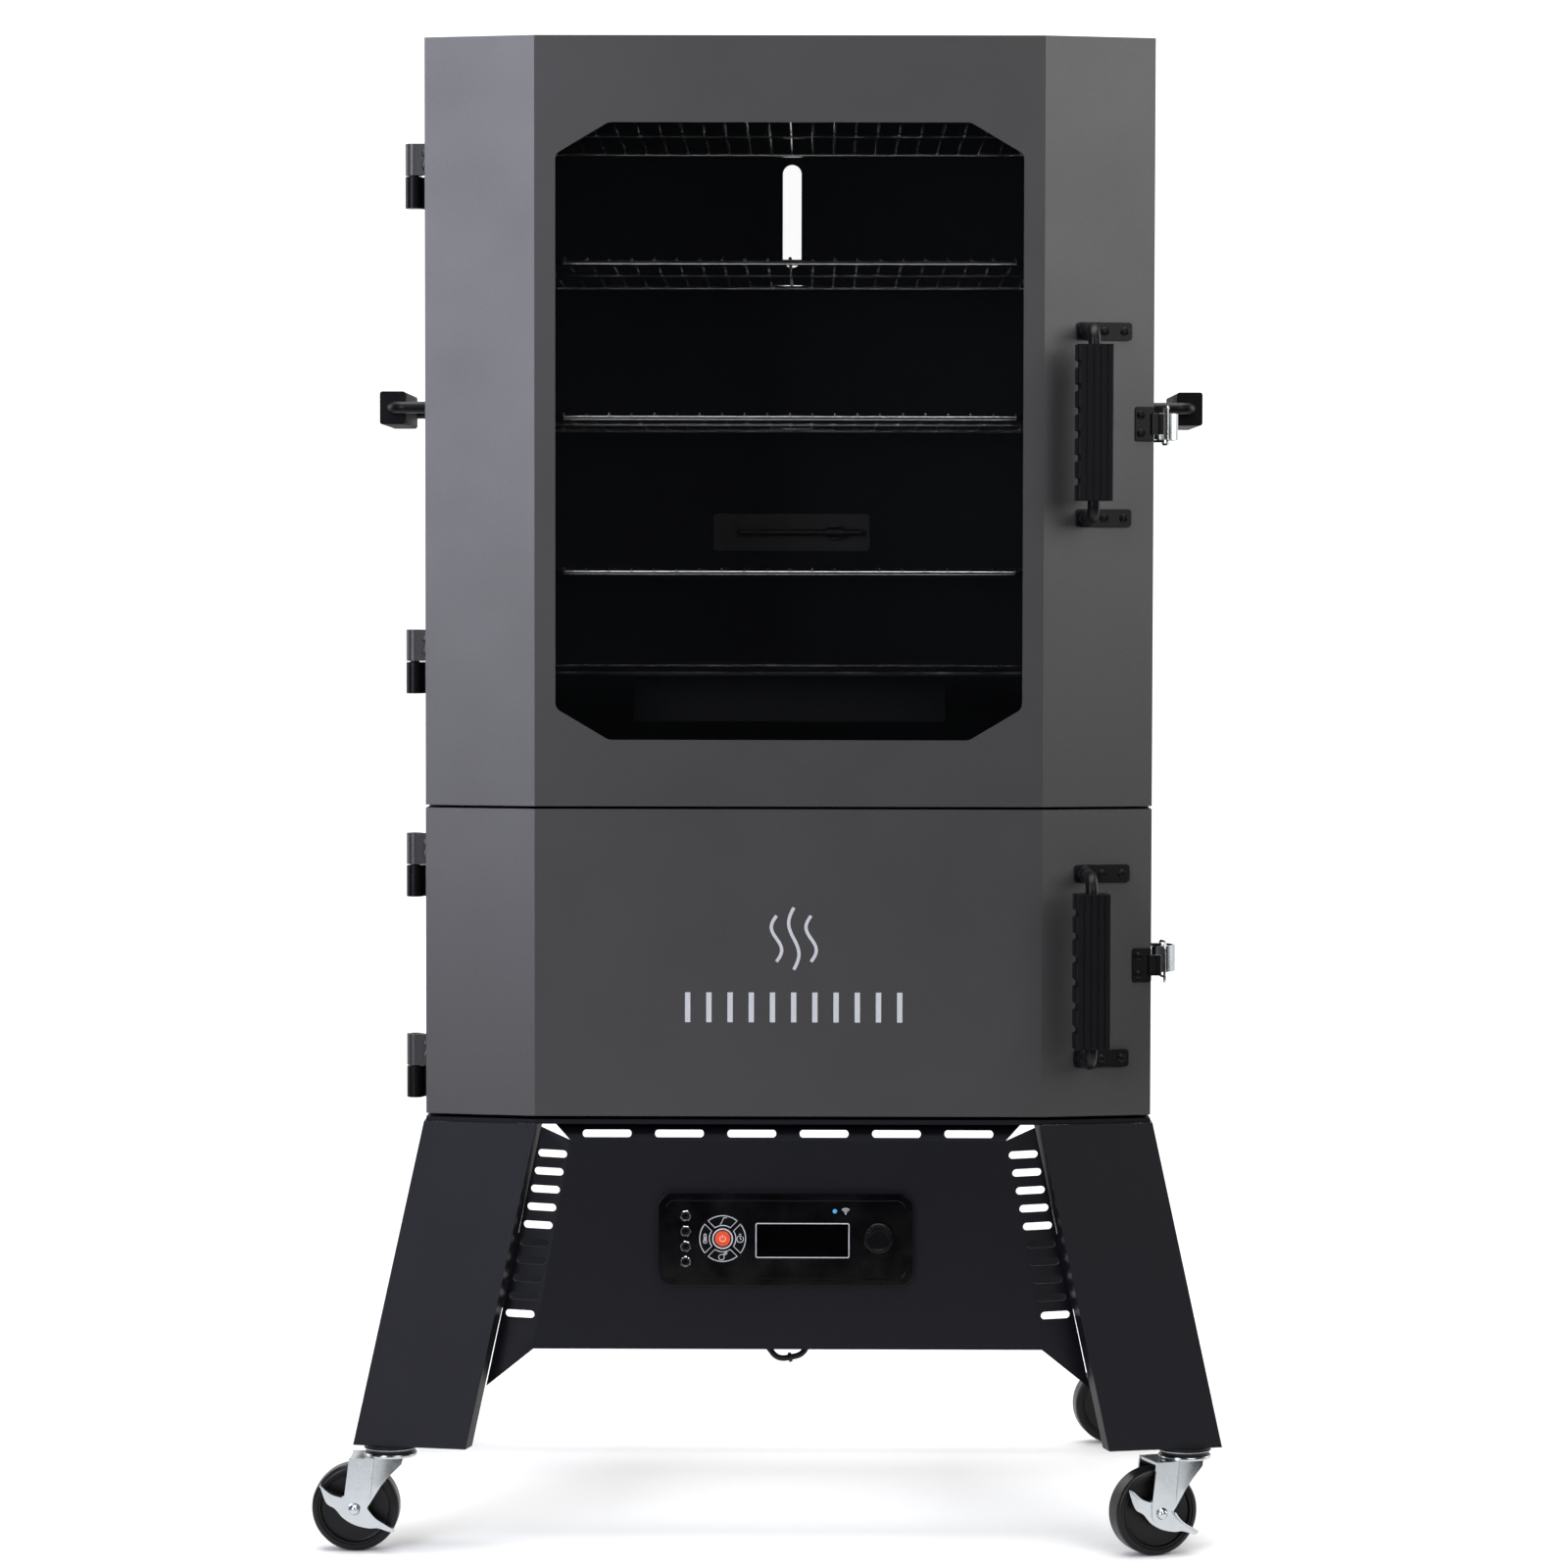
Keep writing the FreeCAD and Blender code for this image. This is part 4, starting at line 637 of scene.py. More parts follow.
def button_icons(centre, y):
    """Plain strokes for the four pad buttons, by node."""
    up = (centre[0], centre[1] + ICON_REACH)
    down = (centre[0], centre[1] - ICON_REACH)
    left = (centre[0] - ICON_REACH, centre[1])
    right = (centre[0] + ICON_REACH, centre[1])

    def shift(at, x, z):
        return (at[0] + x * MM, y, at[1] + z * MM)

    probe = [shift(up, -2.2, -3.2), shift(up, -0.6, -0.6), shift(up, 0.4, 1.6)]
    probe += arc_points((up[0] + 2.2 * MM, up[1] + 1.4 * MM), 1.8 * MM, 170, 40, 6, y)
    bulb = arc_points((left[0], left[1] - 2.6 * MM), 1.5 * MM, 130, 410, 12, y)
    bulb = [shift(left, -0.96, 3.0)] + bulb + [shift(left, 0.96, 3.0)]
    bulb += arc_points((left[0], left[1] + 3.0 * MM), 0.96 * MM, 0, 180, 6, y)
    clock = arc_points((right[0], right[1] - 0.4 * MM), 2.9 * MM, 60, 400, 18, y)
    hands = [shift(right, 0, 1.8), shift(right, 0, -0.4), shift(right, 1.3, -0.4)]
    crown = [shift(right, -0.9, 3.9), shift(right, 0.9, 3.9)]
    joint_of_meat = (down[0] - 1.0 * MM, down[1] - 1.0 * MM)
    knuckle = (down[0] + 2.9 * MM, down[1] + 2.5 * MM)
    meat = [
        arc_points(joint_of_meat, 2.4 * MM, 60, 390, 18, y),
        [shift(down, 0.2, 1.08), shift(down, 2.1, 2.5)],
        [shift(down, 1.08, 0.2), shift(down, 2.5, 1.7)],
        arc_points(knuckle, 0.85 * MM, -100, 190, 10, y),
    ]
    return {
        "probe_button": [probe],
        "temperature_button": [bulb, [shift(left, 0, -2.6), shift(left, 0, 1.6)]],
        "timer_button": [clock, hands, crown],
        "meat_button": meat,
    }


PAD_ANGLES = {"probe_button": 90, "timer_button": 0, "temperature_button": 180, "meat_button": 270}


def make_pad():
    low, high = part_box("power_button")
    centre = ((low.x + high.x) / 2, (low.z + high.z) / 2)
    probe_low, probe_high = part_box("probe_button")
    outer = probe_high.z - centre[1]
    face = probe_low.y
    icons = button_icons(centre, face)
    for node, angle in PAD_ANGLES.items():
        ring = sector_outline(centre, 11.5 * MM, outer - 1.0 * MM, 2.0 * MM, angle, face)
        printed(f"{node}_outline", [ring], face, node, closed=True)
        printed(f"{node}_icon", icons[node], face, node, half=0.3 * MM)

    well = high.y
    collar = lathe(
        [(7.3, 0), (9.6, 0), (9.6, 3.9), (9.2, 4.3),
         (7.7, 4.3), (7.3, 3.9)], 64, closed=True
    )
    place = facing(FORWARD, (centre[0], well, centre[1]))
    add_piece("pad_collar", to_mesh(collar, "pad_collar", place), "cabinet", "black_plastic")
    top = well - 4.3 * MM
    ring = arc_points(centre, 8.45 * MM, 0, 360, 64, top)[:-1]
    printed("pad_collar_ring", [ring], top, "cabinet", half=0.55 * MM, closed=True)

    tall = (high.y - low.y) / MM
    cap = lathe(
        [(6.8, 0), (6.8, tall - 0.7), (6.5, tall - 0.2),
         (5.6, tall), (5.3, tall - 0.35), (4.9, tall - 0.35),
         (4.6, tall), (0.5, tall)], 64
    )
    mesh = to_mesh(cap, "power_button_cap", facing(FORWARD, (centre[0], high.y, centre[1])))
    button = add_piece("power_button_cap", mesh, "power_button", "power_red")
    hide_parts("power_button")
    mark = arc_points(centre, 2.5 * MM, 125, 415, 20, low.y)
    bar = [(centre[0], low.y, centre[1] + 0.6 * MM), (centre[0], low.y, centre[1] + 3.4 * MM)]
    printed("power_mark", [mark, bar], low.y, "power_button", "warm_print", 0.34 * MM,
            slot="power_red")


def make_display_marks():
    low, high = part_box("display_window")
    centre = ((low.x + high.x) / 2, (low.z + high.z) / 2)
    frame_line = rounded_rectangle(
        centre, high.x - low.x - 1.2 * MM, high.z - low.z - 1.2 * MM, 1.4 * MM, low.y
    )
    printed("display_outline", [frame_line], low.y, "cabinet", half=0.42 * MM, closed=True)
    y = low.y
    signal = (high.x - 3.4 * MM, high.z + 8.0 * MM)
    waves = [arc_points(signal, radius * MM, 45, 135, 8, y) for radius in (1.7, 3.2, 4.7)]
    printed("signal_waves", waves, y, "cabinet", half=0.34 * MM)
    dot = arc_points(signal, 0.35 * MM, 0, 360, 8, y)
    printed("signal_dot", [dot], y, "cabinet", half=0.34 * MM)
    lamp = (high.x - 12.8 * MM, high.z + 10.2 * MM)
    disc = lathe([(1.9, 0), (1.9, 0.12), (1.6, 0.2)], 24)
    mesh = to_mesh(disc, "link_dot", facing(FORWARD, (lamp[0], y, lamp[1])))
    add_piece("link_dot", mesh, "cabinet", "black_plastic", "blue_print")


def make_knob():
    """A skirted knob with fine flutes, a dished top and a pointer."""
    low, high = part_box("control_knob")
    centre = (low + high) / 2
    radius = (high.x - low.x) / 2 / MM
    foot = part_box("controller_bezel")[0].y + 0.9 * MM
    tall = (foot - low.y) / MM
    profile = [
        (radius, 0), (radius, 1.6), (radius - 0.8, 2.6),
        (radius - 1.5, 3.0), (radius - 1.7, tall - 1.4),
        (radius - 2.4, tall - 0.3), (radius - 3.4, tall),
        (radius - 4.6, tall), (radius - 5.2, tall - 0.5), (1, tall - 0.6),
    ]
    knob = lathe(profile, 144, 24, 0.75, (3, 4))
    mesh = to_mesh(knob, "knob", facing(FORWARD, (centre.x, foot, centre.z)))
    item = add_piece("control_knob_turned", mesh, "control_knob", "black_plastic")
    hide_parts("control_knob")
    top = low.y + 0.55 * MM
    pointer = [(centre.x, top, centre.z + 3 * MM), (centre.x, top, centre.z + 7 * MM)]
    printed("knob_pointer", [pointer], top, "control_knob", "black_plastic", 0.6 * MM)


def make_jacks():
    """Round sockets: a notched bright nut about a dark, deep bore."""
    nuts, liners = [], []
    for i, points in enumerate(islands("probe_jacks")):
        low, high = extent(points)
        centre = (low + high) / 2
        radius = (high.x - low.x) / 2 / MM
        turn = Matrix.Rotation(math.radians(13 * i), 4, "Z")
        place = facing(FORWARD, (centre.x, low.y + 1.2 * MM, centre.z)) @ turn
        ring = [
            (3.2, -3.0), (3.6, -3.0), (3.6, 0), (radius, 0),
            (radius, 0.7), (radius - 0.5, 1.2), (3.5, 1.2),
            (3.2, 0.8),
        ]
        nut = lathe(ring, 60, 6, 0.5, (3, 4, 5), closed=True)
        nuts.append(to_mesh(nut, "nut", place))
        liner = [
            (1.6, -3.4), (3.1, -3.4), (3.1, 0.5),
            (2.6, 0.8), (1.6, 0.6), (1.3, 0.2), (1.3, -3.2),
        ]
        liners.append(to_mesh(lathe(liner, 36, closed=True), "liner", place))
    item = add_piece("probe_jack_nuts", gathered("nuts", nuts), "cabinet", "zinc")
    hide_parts("probe_jacks")
    add_piece("probe_jack_liners", gathered("liners", liners), "cabinet", "black_plastic")


# ---------------------------------------------------------------- marks, welds, casters


# Heights of the waves' middle and the bars' ends, in mm.
WAVES_HIGH = 534.8
BARS_FROM = 462
BARS_TO = 488


def make_door_mark():
    """Three smoke waves over a row of grate bars, in pale print on the lower door."""
    middle = 4.8 * MM
    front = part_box("lower_door_panel")[0].y
    waves = []
    for offset, tall in ((-15, 40), (0, 54), (15, 40)):
        points = []
        for i in range(25):
            t = i / 24
            x = middle + (offset + 4.5 * math.sin(2 * math.pi * t)) * MM
            points.append((x, front, (WAVES_HIGH + (t - 0.5) * tall) * MM))
        waves.append(points)
    paint = ("lower_door", "door_paint", "print")
    tubes("door_mark_waves", waves, 1.5 * MM, *paint, squash=(front, 0.06))
    bars = []
    for i in range(-5, 6):
        x = middle + i * 18.4 * MM
        bars.append([(x, front, BARS_FROM * MM), (x, front, BARS_TO * MM)])
    tubes("door_mark_bars", bars, 2.3 * MM, *paint, squash=(front, 0.04))


WELDS = (
    # height above the hinge's split, and length, in mm
    (9.8, 10.0), (19.8, 6.0),
)


def weld_bead(at, tall):
    """One lump of weld, its surface rippled along its length."""
    work = bmesh.new()
    bmesh.ops.create_icosphere(work, subdivisions=4, radius=1.0)
    for vert in work.verts:
        ripple = 1 + 0.07 * math.sin(vert.co.z * tall * 3.1)
        vert.co = Vector((
            vert.co.x * 2.5 * ripple * MM, vert.co.y * 2.3 * ripple * MM, vert.co.z * tall / 2 * MM
        ))
    lean = Matrix.Rotation(math.radians(9), 4, "Y")
    return to_mesh(work, "bead", Matrix.Translation(at) @ lean)


HINGE_HALF = 28 * MM
WELD_FRONT = -204.6 * MM


def make_welds():
    """Two weld beads between each of the doors' hinge barrels and the door's edge."""
    beads = {"upper_door": [], "lower_door": []}
    door_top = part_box("lower_door_panel")[1].z
    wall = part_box("cabinet_side_left")[0].x
    for points in islands("cabinet_hinges"):
        split = min(p.z for p in points) + HINGE_HALF
        door = "lower_door" if split < door_top else "upper_door"
        for height, tall in WELDS:
            at = Vector((wall - 2.9 * MM, WELD_FRONT, split + height * MM))
            beads[door].append(weld_bead(at, tall))
    for door, meshes in beads.items():
        add_piece(f"{door}_weld_beads", gathered(door, meshes), door, "door_paint", sharp=80.0)


def joint_named(name):
    return [joint for joint in frame["joints"] if joint["name"] == name][0]


def axle_of(caster):
    """The axle's middle and the way it points out of the front of the caster."""
    joint = joint_named(f"{caster}_wheel_spin")
    out = Vector(joint["axis"]).normalized()
    if out.y > 0:
        out = -out
    return Vector(joint["pos_m"]), out


def make_axle_nut(caster):
    """A domed nut on the front end of the axle."""
    middle, out = axle_of(caster)
    reach = 18.6 * MM
    profile = [(6.2, 0), (6.2, 0.7), (5.0, 1.0), (4.8, 1.6), (4.2, 3.2), (3.0, 4.5), (1.2, 5.1)]
    nut = lathe(profile, 48)
    place = facing(out, middle + out * reach)
    add_piece(f"{caster}_axle_nut", to_mesh(nut, "nut", place), f"{caster}_swivel", "zinc")


SHOULDER = 5.0
WHEEL_FACE = (
    # how far in from the tread, how far back from the widest face, both in mm
    (5.4, 0.1), (5.8, 0.9), (6.6, 1.0), (7.0, 0.5), (7.8, 0.5), (8.8, 3.2), (11.0, 3.9),
    (20.0, 4.0), (25.5, 4.0), (27.0, 1.2), (28.0, 0.4), (34.0, 0.4),
)


def make_wheel(caster):
    """A moulded wheel: crowned tread, round shoulders, a raised line and a sunk web."""
    node = f"{caster}_wheel"
    low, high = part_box(node)
    radius = (high.z - low.z) / 2 / MM
    middle, out = axle_of(caster)
    spokes = [(vert.co - middle) / MM for vert in nodes[node].data.vertices]
    half = max(abs(spoke.dot(out)) for spoke in spokes)
    bore = min((spoke - out * spoke.dot(out)).length for spoke in spokes)
    side = []
    for i in range(9):
        angle = math.radians(90 * i / 8)
        across = radius - SHOULDER + SHOULDER * math.cos(angle)
        side.append((across, half - SHOULDER + SHOULDER * math.sin(angle)))
    side += [(radius - inward, half - back) for inward, back in WHEEL_FACE]
    side.append((bore + 0.1, half - 0.4))
    profile = [(r, -z) for r, z in reversed(side)] + side
    mesh = to_mesh(lathe(profile, 96, closed=True), "wheel", facing(out, middle))
    item = add_piece(f"{node}_moulded", mesh, f"{caster}_wheel", "wheel_plastic")
    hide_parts(node)


BRAKE_EDGE = (
    # across and up from the axle in mm: the upper edge from toe to heel, then the lower edge back
    (-29.5, 22.5), (-21.0, 15.5), (-10.5, 12.0), (0.0, 13.5), (8.0, 9.0), (12.0, 1.5), (19.0, -7.0),
    (33.5, -16.5), (32.0, -20.0), (20.5, -16.5), (12.0, -16.5), (0.0, -13.5), (-10.0, -7.5),
    (-17.0, 0.5), (-24.0, 5.0), (-28.0, 14.0),
)
BRAKE_FACE = 18.5
BRAKE_LIPS = ((0, 2, 6.6), (5, 7, 4.2))
CURVE_STEPS = 6


def curve_through(points, first, last, steps=CURVE_STEPS):
    """A smooth curve through a closed loop's points, from one of them to another."""
    curve = []
    count = len(points)
    for i in range(first, last):
        p0, p1, p2, p3 = (Vector(points[(i + k) % count]) for k in (-1, 0, 1, 2))
        for k in range(steps):
            t = k / steps
            curve.append(
                0.5 * (2 * p1 + (p2 - p0) * t + (2 * p0 - 5 * p1 + 4 * p2 - p3) * t * t
                       + (3 * p1 - p0 - 3 * p2 + p3) * t * t * t)
            )
    return curve


def slab(outline, low, high, bevel):
    """A flat plate of an (across, up) outline between two depths, its edges rounded."""
    work = bmesh.new()
    rings = [[work.verts.new((p.x * MM, p.y * MM, z * MM)) for p in outline] for z in (low, high)]
    count = len(outline)
    for i in range(count):
        j = (i + 1) % count
        work.faces.new((rings[0][i], rings[0][j], rings[1][j], rings[1][i]))
    for ring in rings:
        work.faces.new(ring)
    bmesh.ops.recalc_face_normals(work, faces=work.faces)
    bevel_sharp(work, 50, bevel * MM)
    return work


def make_brake(caster):
    """The S-shaped pressed brake lever, its upper edges turned forward."""
    middle, out = axle_of(caster)
    place = with_axes(UP.cross(out), UP, out, middle)
    loop = curve_through(BRAKE_EDGE, 0, len(BRAKE_EDGE))
    meshes = [to_mesh(slab(loop, BRAKE_FACE - 2.0, BRAKE_FACE, 0.4), "plate", place)]
    for first, last, deep in BRAKE_LIPS:
        edge = curve_through(BRAKE_EDGE, first, last) + [Vector(BRAKE_EDGE[last])]
        inner = []
        for i, point in enumerate(edge):
            along = edge[min(i + 1, len(edge) - 1)] - edge[max(i - 1, 0)]
            inward = Vector((along.y, -along.x)).normalized()
            inner.append(point + inward * 1.5)
        strip = edge + inner[::-1]
        lip = slab(strip, BRAKE_FACE - 1.0, BRAKE_FACE + deep, 0.3)
        meshes.append(to_mesh(lip, "lip", place))
    boss = lathe([(9.0, 0), (9.0, 0.5), (8.2, 0.9), (6.4, 0.9)], 48)
    meshes.append(to_mesh(boss, "boss", facing(out, middle + out * (BRAKE_FACE - 0.3) * MM)))
    item = add_piece(f"{caster}_brake_pressing", gathered("brake", meshes), f"{caster}_brake", "zinc")
    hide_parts(f"{caster}_brake")


# The cheeks' rear edge, crease and front edge, across and up from the axle, in mm.
FORK_REAR = ((-9.2, 0.0), (-9.2, 8.0), (-4.5, 45.0))
FORK_CREASE = ((5.0, 0.0), (13.0, 6.0), (16.5, 45.0))
FORK_FRONT = (
    (9.2, 0.0), (12.6, 4.0), (17.0, 11.0), (22.6, 20.0), (30.0, 29.0), (40.5, 39.0), (42.0, 45.0),
)
FORK_FOOT = 9.2
FORK_THICK = 2.4
FORK_ROWS = 30
# The rolled disc on top of a fork: radius, and height below its top, in mm.
FORK_DISC = (
    (21.8, -3.2), (22.7, -2.8), (23.0, -2.1), (23.0, -0.9), (22.6, -0.2), (21.8, 0.0),
    (20.9, -0.2), (20.2, -0.8), (8.0, -0.8),
)
# How far the axle reaches past a cheek's inner face, in mm.
AXLE_PAST = 6.0


def across_at(edge, height):
    """How far across an edge lies at a height; below the axle the foot is a half disc."""
    if height < 0:
        return edge[0][0] * math.sqrt(max(0.0, 1 - (height / FORK_FOOT) ** 2))
    for (x0, z0), (x1, z1) in zip(edge, edge[1:]):
        if height <= z1:
            break
    return x0 + (x1 - x0) * (height - z0) / (z1 - z0)


def cheek_row(height):
    """(across, inward) points over one cheek at a height: flat, a creased line, then a folded wing."""
    rear, crease, front = (across_at(e, height) for e in (FORK_REAR, FORK_CREASE, FORK_FRONT))
    slope = 0.05 + 0.17 * min(1.0, max(0.0, (height - 20) / 25))
    groove = 0.5 * min(1.0, max(0.0, (height - 9) / 6))
    half = min(0.8, (front - crease) * 0.3)
    row = [(rear + (crease - half - rear) * k / 3, 0.0) for k in range(4)]
    row.append((crease, groove))
    start = crease + half
    for k in range(4):
        reach = start + (front - start) * k / 3
        row.append((reach, slope * (reach - crease)))
    return row


def cheek(side, outer):
    """One cheek in (across, up, out) from the axle's middle; side is 1 in front and -1 behind."""
    heights = [-9.1 * math.cos(math.pi / 2 * i / 8) for i in range(8)]
    heights += [FORK_REAR[-1][1] * i / FORK_ROWS for i in range(FORK_ROWS + 1)]
    work = bmesh.new()
    skins = []
    for deep in (0.0, FORK_THICK):
        skin = []
        for height in heights:
            skin.append([
                work.verts.new((u * MM, height * MM, side * (outer - deep - inward) * MM))
                for u, inward in cheek_row(height)
            ])
        skins.append(skin)
    rows, columns = len(heights), len(skins[0][0])
    for skin in skins:
        for i in range(rows - 1):
            for j in range(columns - 1):
                work.faces.new((skin[i][j], skin[i][j + 1], skin[i + 1][j + 1], skin[i + 1][j]))
    rim = [(i, 0) for i in range(rows)] + [(rows - 1, j) for j in range(1, columns)]
    rim += [(i, columns - 1) for i in range(rows - 2, -1, -1)]
    rim += [(0, j) for j in range(columns - 2, 0, -1)]
    for (i, j), (k, m) in zip(rim, rim[1:] + rim[:1]):
        work.faces.new((skins[0][i][j], skins[0][k][m], skins[1][k][m], skins[1][i][j]))
    bmesh.ops.recalc_face_normals(work, faces=work.faces)
    bevel_sharp(work, 50, 0.4 * MM)
    return work


def make_fork(caster):
    """A pressed fork: a rolled top disc, a bridge, two creased cheeks and the axle."""
    node = f"{caster}_fork"
    middle, out = axle_of(caster)
    across = UP.cross(out)
    swivel = Vector(joint_named(f"{caster}_swivel_turn")["pos_m"])
    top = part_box(node)[1].z
    length = max((v.co - middle).dot(out) for v in nodes[node].data.vertices) / MM
    outer = length - AXLE_PAST + FORK_THICK
    place = with_axes(across, UP, out, middle)
    meshes = [to_mesh(cheek(side, outer), "cheek", place) for side in (1, -1)]

    wide, narrow = outer - 0.4, outer - 5.4
    half_outline = ((-4.0, wide), (16.0, wide), (41.6, narrow))
    outline = [Vector((u, -v)) for u, v in half_outline]
    outline += [Vector(corner) for corner in reversed(half_outline)]
    level = with_axes(across, -out, UP, (middle.x, middle.y, top))
    bridge = slab(outline, -6.0, -3.0, 0.5)
    meshes.append(to_mesh(bridge, "bridge", level))
    disc = lathe(FORK_DISC, 72)
    meshes.append(to_mesh(disc, "disc", Matrix.Translation((swivel.x, swivel.y, top))))
    axle = lathe([(3.2, -length), (4.0, 0.7 - length), (4.0, length - 0.7), (3.2, length)], 36)
    meshes.append(to_mesh(axle, "axle", facing(out, middle)))
    item = add_piece(f"{node}_pressed", gathered("fork", meshes), f"{caster}_swivel", "zinc")
    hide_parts(node)


# Profiles in mm: radius, and height above the foot.
WIDEST_NUT = 20.0
FOOT_NUT = ((8, 0), (8, 7), (7.2, 8), (4, 8), (4, 9.6), (3.4, 10))
RACE_RING = ((20.0, 0), (22.6, 0), (23.1, 0.3), (23.1, 0.8), (22.6, 1.1), (20.0, 1.1))


def make_races():
    """The black ball races under the feet, each with a bright ring, and the nuts above them."""
    races, rings, nuts = [], [], []
    for points in islands("caster_mounts"):
        low, high = extent(points)
        centre = (low + high) / 2
        if high.x - low.x < WIDEST_NUT * MM:
            place = Matrix.Translation((centre.x, centre.y, low.z))
            nuts.append(to_mesh(lathe(FOOT_NUT, 6), "nut", place))
            continue
        tall = (high.z - low.z) / MM
        race = lathe(
            [(20.4, 0), (21.4, 0.4), (21.6, tall - 4.0), (20.4, tall - 3.6), (20.4, tall - 2.4),
             (22.4, tall - 2.0), (22.8, tall - 1.4), (22.8, tall)], 72
        )
        races.append(to_mesh(race, "race", Matrix.Translation((centre.x, centre.y, low.z))))
        place = Matrix.Translation((centre.x, centre.y, high.z - 3.55 * MM))
        rings.append(to_mesh(lathe(RACE_RING, 72, closed=True), "ring", place))
    item = add_piece("caster_races", gathered("races", races + nuts), "cabinet", "black_steel")
    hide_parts("caster_mounts")
    add_piece("caster_race_rings", gathered("rings", rings), "cabinet", "zinc")


def make_casters():
    make_races()
    for caster in ("front_left", "front_right", "rear_left", "rear_right"):
        make_fork(caster)
        make_wheel(caster)
        if caster.startswith("front"):
            make_brake(caster)
            make_axle_nut(caster)


# ---------------------------------------------------------------- racks


def make_racks():
    """Chrome racks: a bent rod frame, a middle rod and wires with hooked ends."""
    frames, wires = [], []
    groups = islands("wire_racks")
    rod = 2.6 * MM
    thin = 1.5 * MM
    for points in groups:
        low, high = extent(points)
        lift = high.z - thin
        level = low.z + rod
        front_half = max(abs(p.x) for p in points if p.y < low.y + 2 * rod) - rod
        half = high.x - rod
        front, back = low.y + rod, high.y - rod
        corner = min(p.y for p in points if abs(p.x) > half)
        outline = [
            (-front_half, front), (front_half, front), (half, corner), (half, back),
            (-half, back), (-half, corner),
        ]
        frames.append(rounded_path(outline, 10 * MM, level))
        middle = (front + back) / 2
        wires.append([(-half, middle, level), (half, middle, level)])
        pitch = 20.0 * MM
        count = int((half - 8 * MM) / pitch)
        for i in range(-count, count + 1):
            x = i * pitch
            past = max(0.0, abs(x) - front_half) / (half - front_half)
            start = front + past * (corner - front)
            wires.append([
                (x, start - 1.6 * MM, lift - 1.5 * MM), (x, start - 1.2 * MM, lift - 0.4 * MM),
                (x, start, lift), (x, back, lift), (x, back + 1.2 * MM, lift - 0.4 * MM),
                (x, back + 1.6 * MM, lift - 1.5 * MM),
            ])
    pan_low, pan_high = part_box("water_pan")
    edge = [
        (pan_low.x, pan_low.y), (pan_high.x, pan_low.y), (pan_high.x, pan_high.y),
        (pan_low.x, pan_high.y),
    ]
    edge = [(x - math.copysign(2 * MM, x), y - math.copysign(2 * MM, y)) for x, y in edge]
    rim = rounded_path(edge, 6 * MM, pan_high.z + 1.0 * MM)
    tubes("water_pan_rim", [rim], 1.9 * MM, "cabinet", "wire_steel", closed=True)
    item = tubes("rack_frames", frames, rod, "cabinet", "wire_steel", closed=True, resolution=4)
    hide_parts("wire_racks")
    tubes("rack_wires", wires, thin, "cabinet", "wire_steel", resolution=3)


# ---------------------------------------------------------------- stage, light and camera


FLOOR_SOLID = 0.6
FLOOR_GONE = 1.6


def make_floor():
    """A pale floor that fades into the white backdrop away from the object."""
    work = bmesh.new()
    bmesh.ops.create_grid(work, x_segments=2, y_segments=2, size=FLOOR_GONE)
    floor = new_object("floor", to_mesh(work, "floor"))
    material, tree, shader, place = start_material("pale_floor", (0.86, 0.86, 0.86))
    shader.inputs["Roughness"].default_value = 0.6
    cloud = noise(tree, place, 1.5, 4.0)
    tree.links.new(
        tinted(tree, cloud, (0.85, 0.85, 0.85), (0.88, 0.88, 0.88)), shader.inputs["Base Color"]
    )
    away = add_node(tree, "ShaderNodeVectorMath", {0: place}, operation="LENGTH")
    fade = ranged(tree, away.outputs["Value"], 0.0, 1.0, FLOOR_SOLID, FLOOR_GONE)
    clear = add_node(tree, "ShaderNodeBsdfTransparent")
    layers = {0: fade, 1: shader.outputs[0], 2: clear.outputs[0]}
    mixed = add_node(tree, "ShaderNodeMixShader", layers)
    tree.links.new(mixed.outputs[0], tree.nodes["Material Output"].inputs["Surface"])
    floor.data.materials.append(material)


def add_softbox(name, place, target, wide, tall, power, colour=(1, 1, 1)):
    light = bpy.data.lights.new(name, "AREA")
    light.shape = "RECTANGLE"
    light.size = wide
    light.size_y = tall
    light.energy = power
    light.color = colour
    item = new_object(name, light)
    item.location = place
    aim = Vector(target) - Vector(place)
    item.rotation_euler = aim.to_track_quat("-Z", "Y").to_euler()
    item.visible_camera = False


# The brightness in front of the object, and of the backdrop that the camera sees.
DIM = 0.02
BACKDROP = 1.3


def make_world():
    """White behind the object, dim where the camera stands, as in a studio."""
    world = bpy.data.worlds.new("studio")
    bpy.context.scene.world = world
    world.use_nodes = True
    tree = world.node_tree
    background = tree.nodes["Background"]
    place = add_node(tree, "ShaderNodeTexCoord").outputs["Generated"]
    along = add_node(tree, "ShaderNodeSeparateXYZ", {"Vector": place}).outputs["Y"]
    studio = ranged(tree, along, DIM, 1.0, -0.1, 0.7)
    tree.links.new(tinted(tree, studio, (0, 0, 0), (1, 1, 1)), background.inputs["Color"])
    ray = add_node(tree, "ShaderNodeLightPath")
    white = add_node(tree, "ShaderNodeBackground", {"Color": (1, 1, 1, 1), "Strength": BACKDROP})
    choice = {0: ray.outputs["Is Camera Ray"], 1: background.outputs[0], 2: white.outputs[0]}
    mixed = add_node(tree, "ShaderNodeMixShader", choice)
    tree.links.new(mixed.outputs[0], tree.nodes["World Output"].inputs["Surface"])


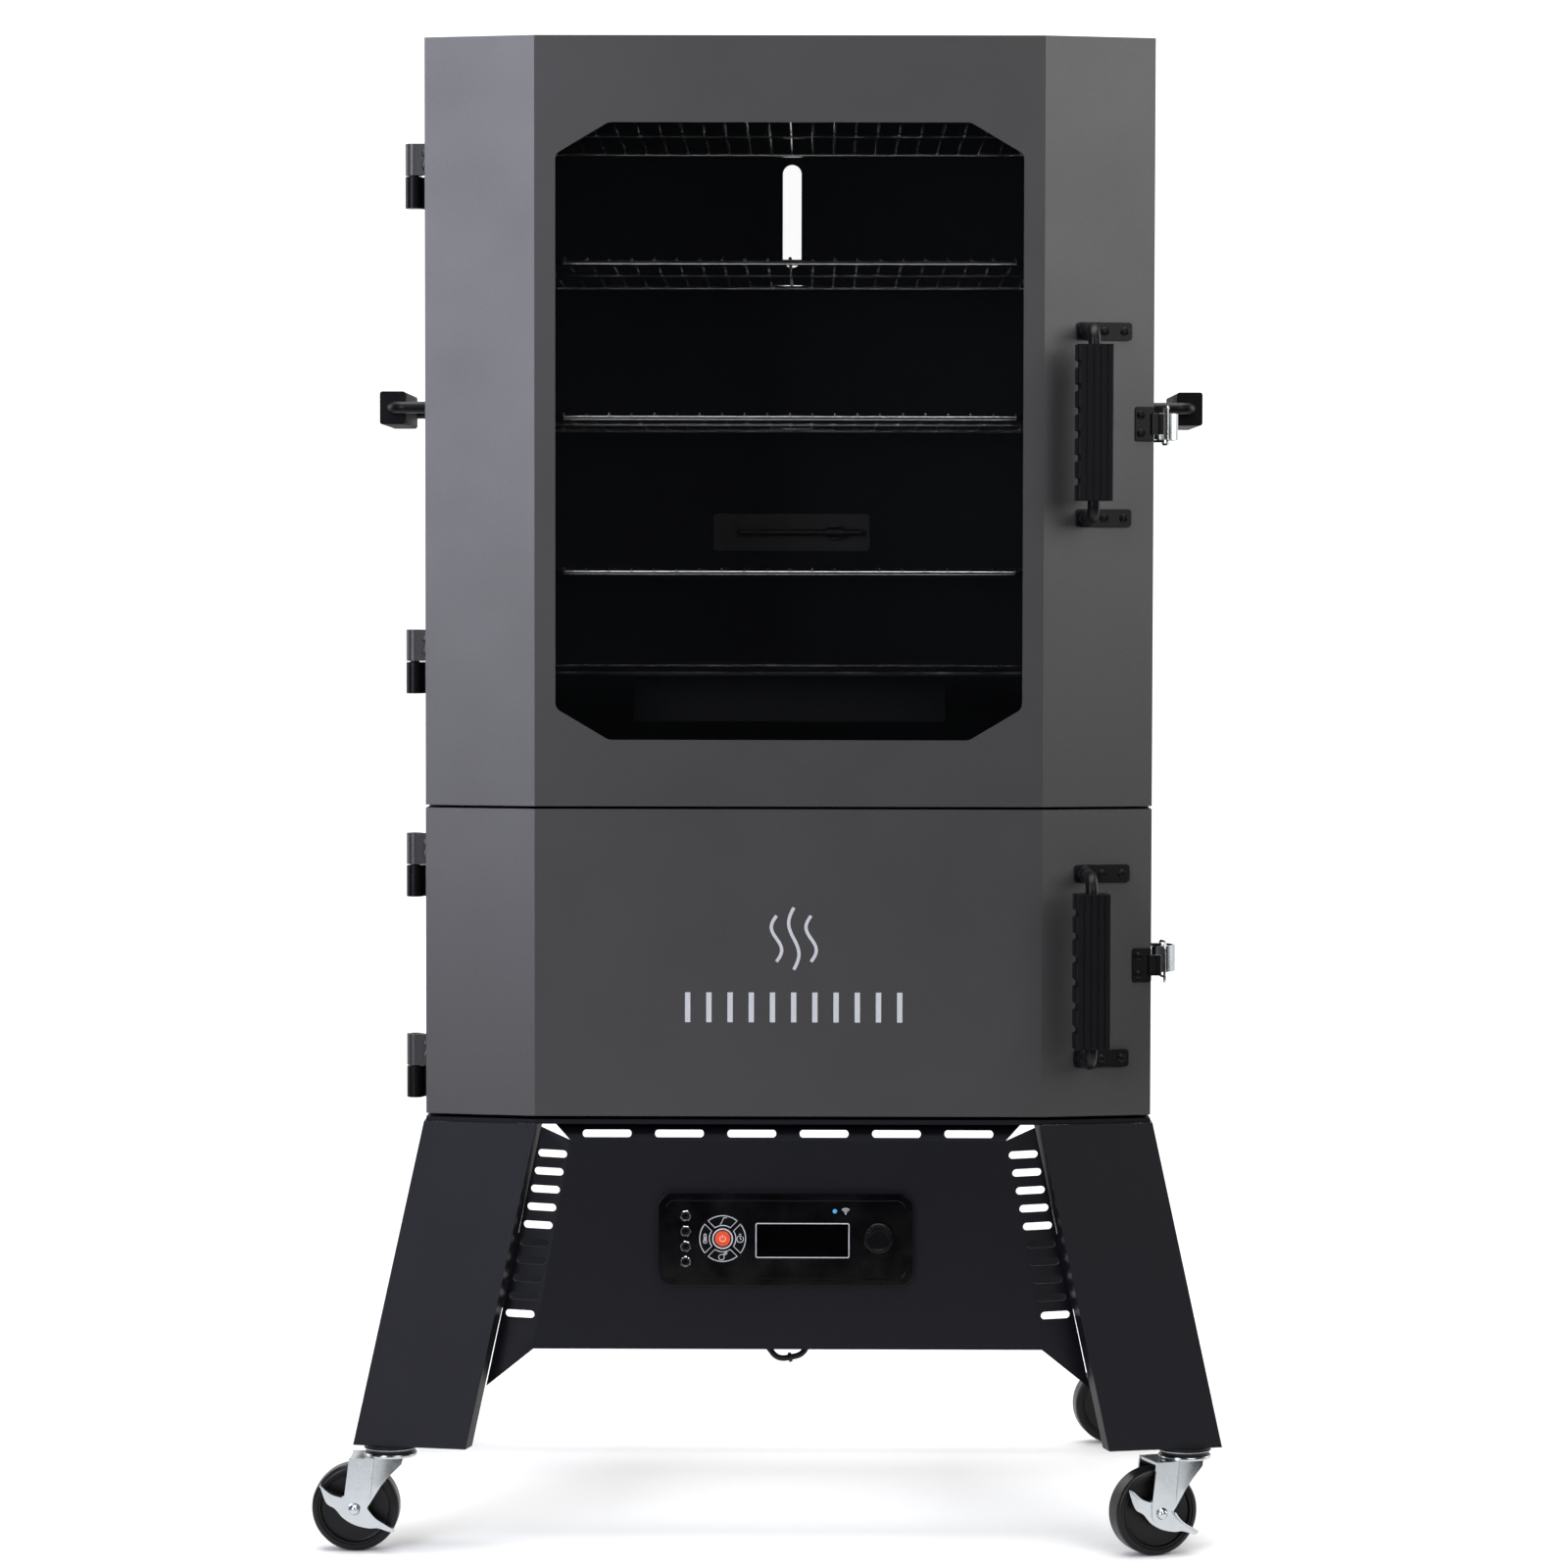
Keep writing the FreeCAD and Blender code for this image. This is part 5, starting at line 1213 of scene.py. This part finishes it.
def make_lights():
    make_world()
    add_softbox("top", (0, -0.2, 3.6), (0, 0.0, 0), 3.4, 3.4, 230)
    add_softbox("left", (-1.75, -3.1, 1.65), (-0.1, 0, 1.0), 1.0, 2.5, 76, (0.84, 0.86, 1.0))
    add_softbox("right", (1.95, -3.2, 2.0), (0.2, 0, 1.1), 1.9, 2.2, 48)
    add_softbox("side_left", (-3.4, 1.0, 1.5), (0, 0.1, 0.8), 1.6, 2.4, 36)
    add_softbox("side_right", (3.4, 1.0, 1.5), (0, 0.1, 0.8), 1.6, 2.4, 36)
    add_softbox("under", (0, 0.02, 0.2), (0, 0.02, 0), 0.5, 0.4, 0.75)


CAMERA_PLACE = (0.0203, -4.2699, 0.8514)
# Yaw to the right, pitch up and roll, in degrees.
CAMERA_TURN = (-0.346, -2.60, 0.10)
FOCAL_LENGTH = 106.57
SENSOR_WIDTH = 36.0


def make_camera():
    """Nearly square to the front, a little above the middle, with a long lens."""
    camera = new_object("camera", bpy.data.cameras.new("camera"))
    bpy.context.scene.camera = camera
    camera.data.sensor_width = SENSOR_WIDTH
    camera.data.lens = FOCAL_LENGTH
    yaw, pitch, roll = (math.radians(angle) for angle in CAMERA_TURN)
    ahead = Vector(
        (math.sin(yaw) * math.cos(pitch), math.cos(yaw) * math.cos(pitch), math.sin(pitch))
    )
    right = Vector((math.cos(yaw), -math.sin(yaw), 0))
    up = right.cross(ahead)
    turned_right = right * math.cos(roll) + up * math.sin(roll)
    turned_up = up * math.cos(roll) - right * math.sin(roll)
    camera.matrix_world = with_axes(turned_right, turned_up, -ahead, CAMERA_PLACE)
    camera.data.clip_end = 100.0


# ---------------------------------------------------------------- build


for node_name, item in nodes.items():
    item.data.materials.clear()
    item.data.materials.append(MATERIALS[slot_of[node_name]])

bpy.context.scene.view_settings.view_transform = "Standard"
make_floor()
make_lights()
make_camera()
soften_nodes()
make_screws()
make_panel_screws()
make_grip_ends()
make_pad()
make_display_marks()
make_knob()
make_jacks()
make_door_mark()
make_welds()
make_casters()
make_racks()
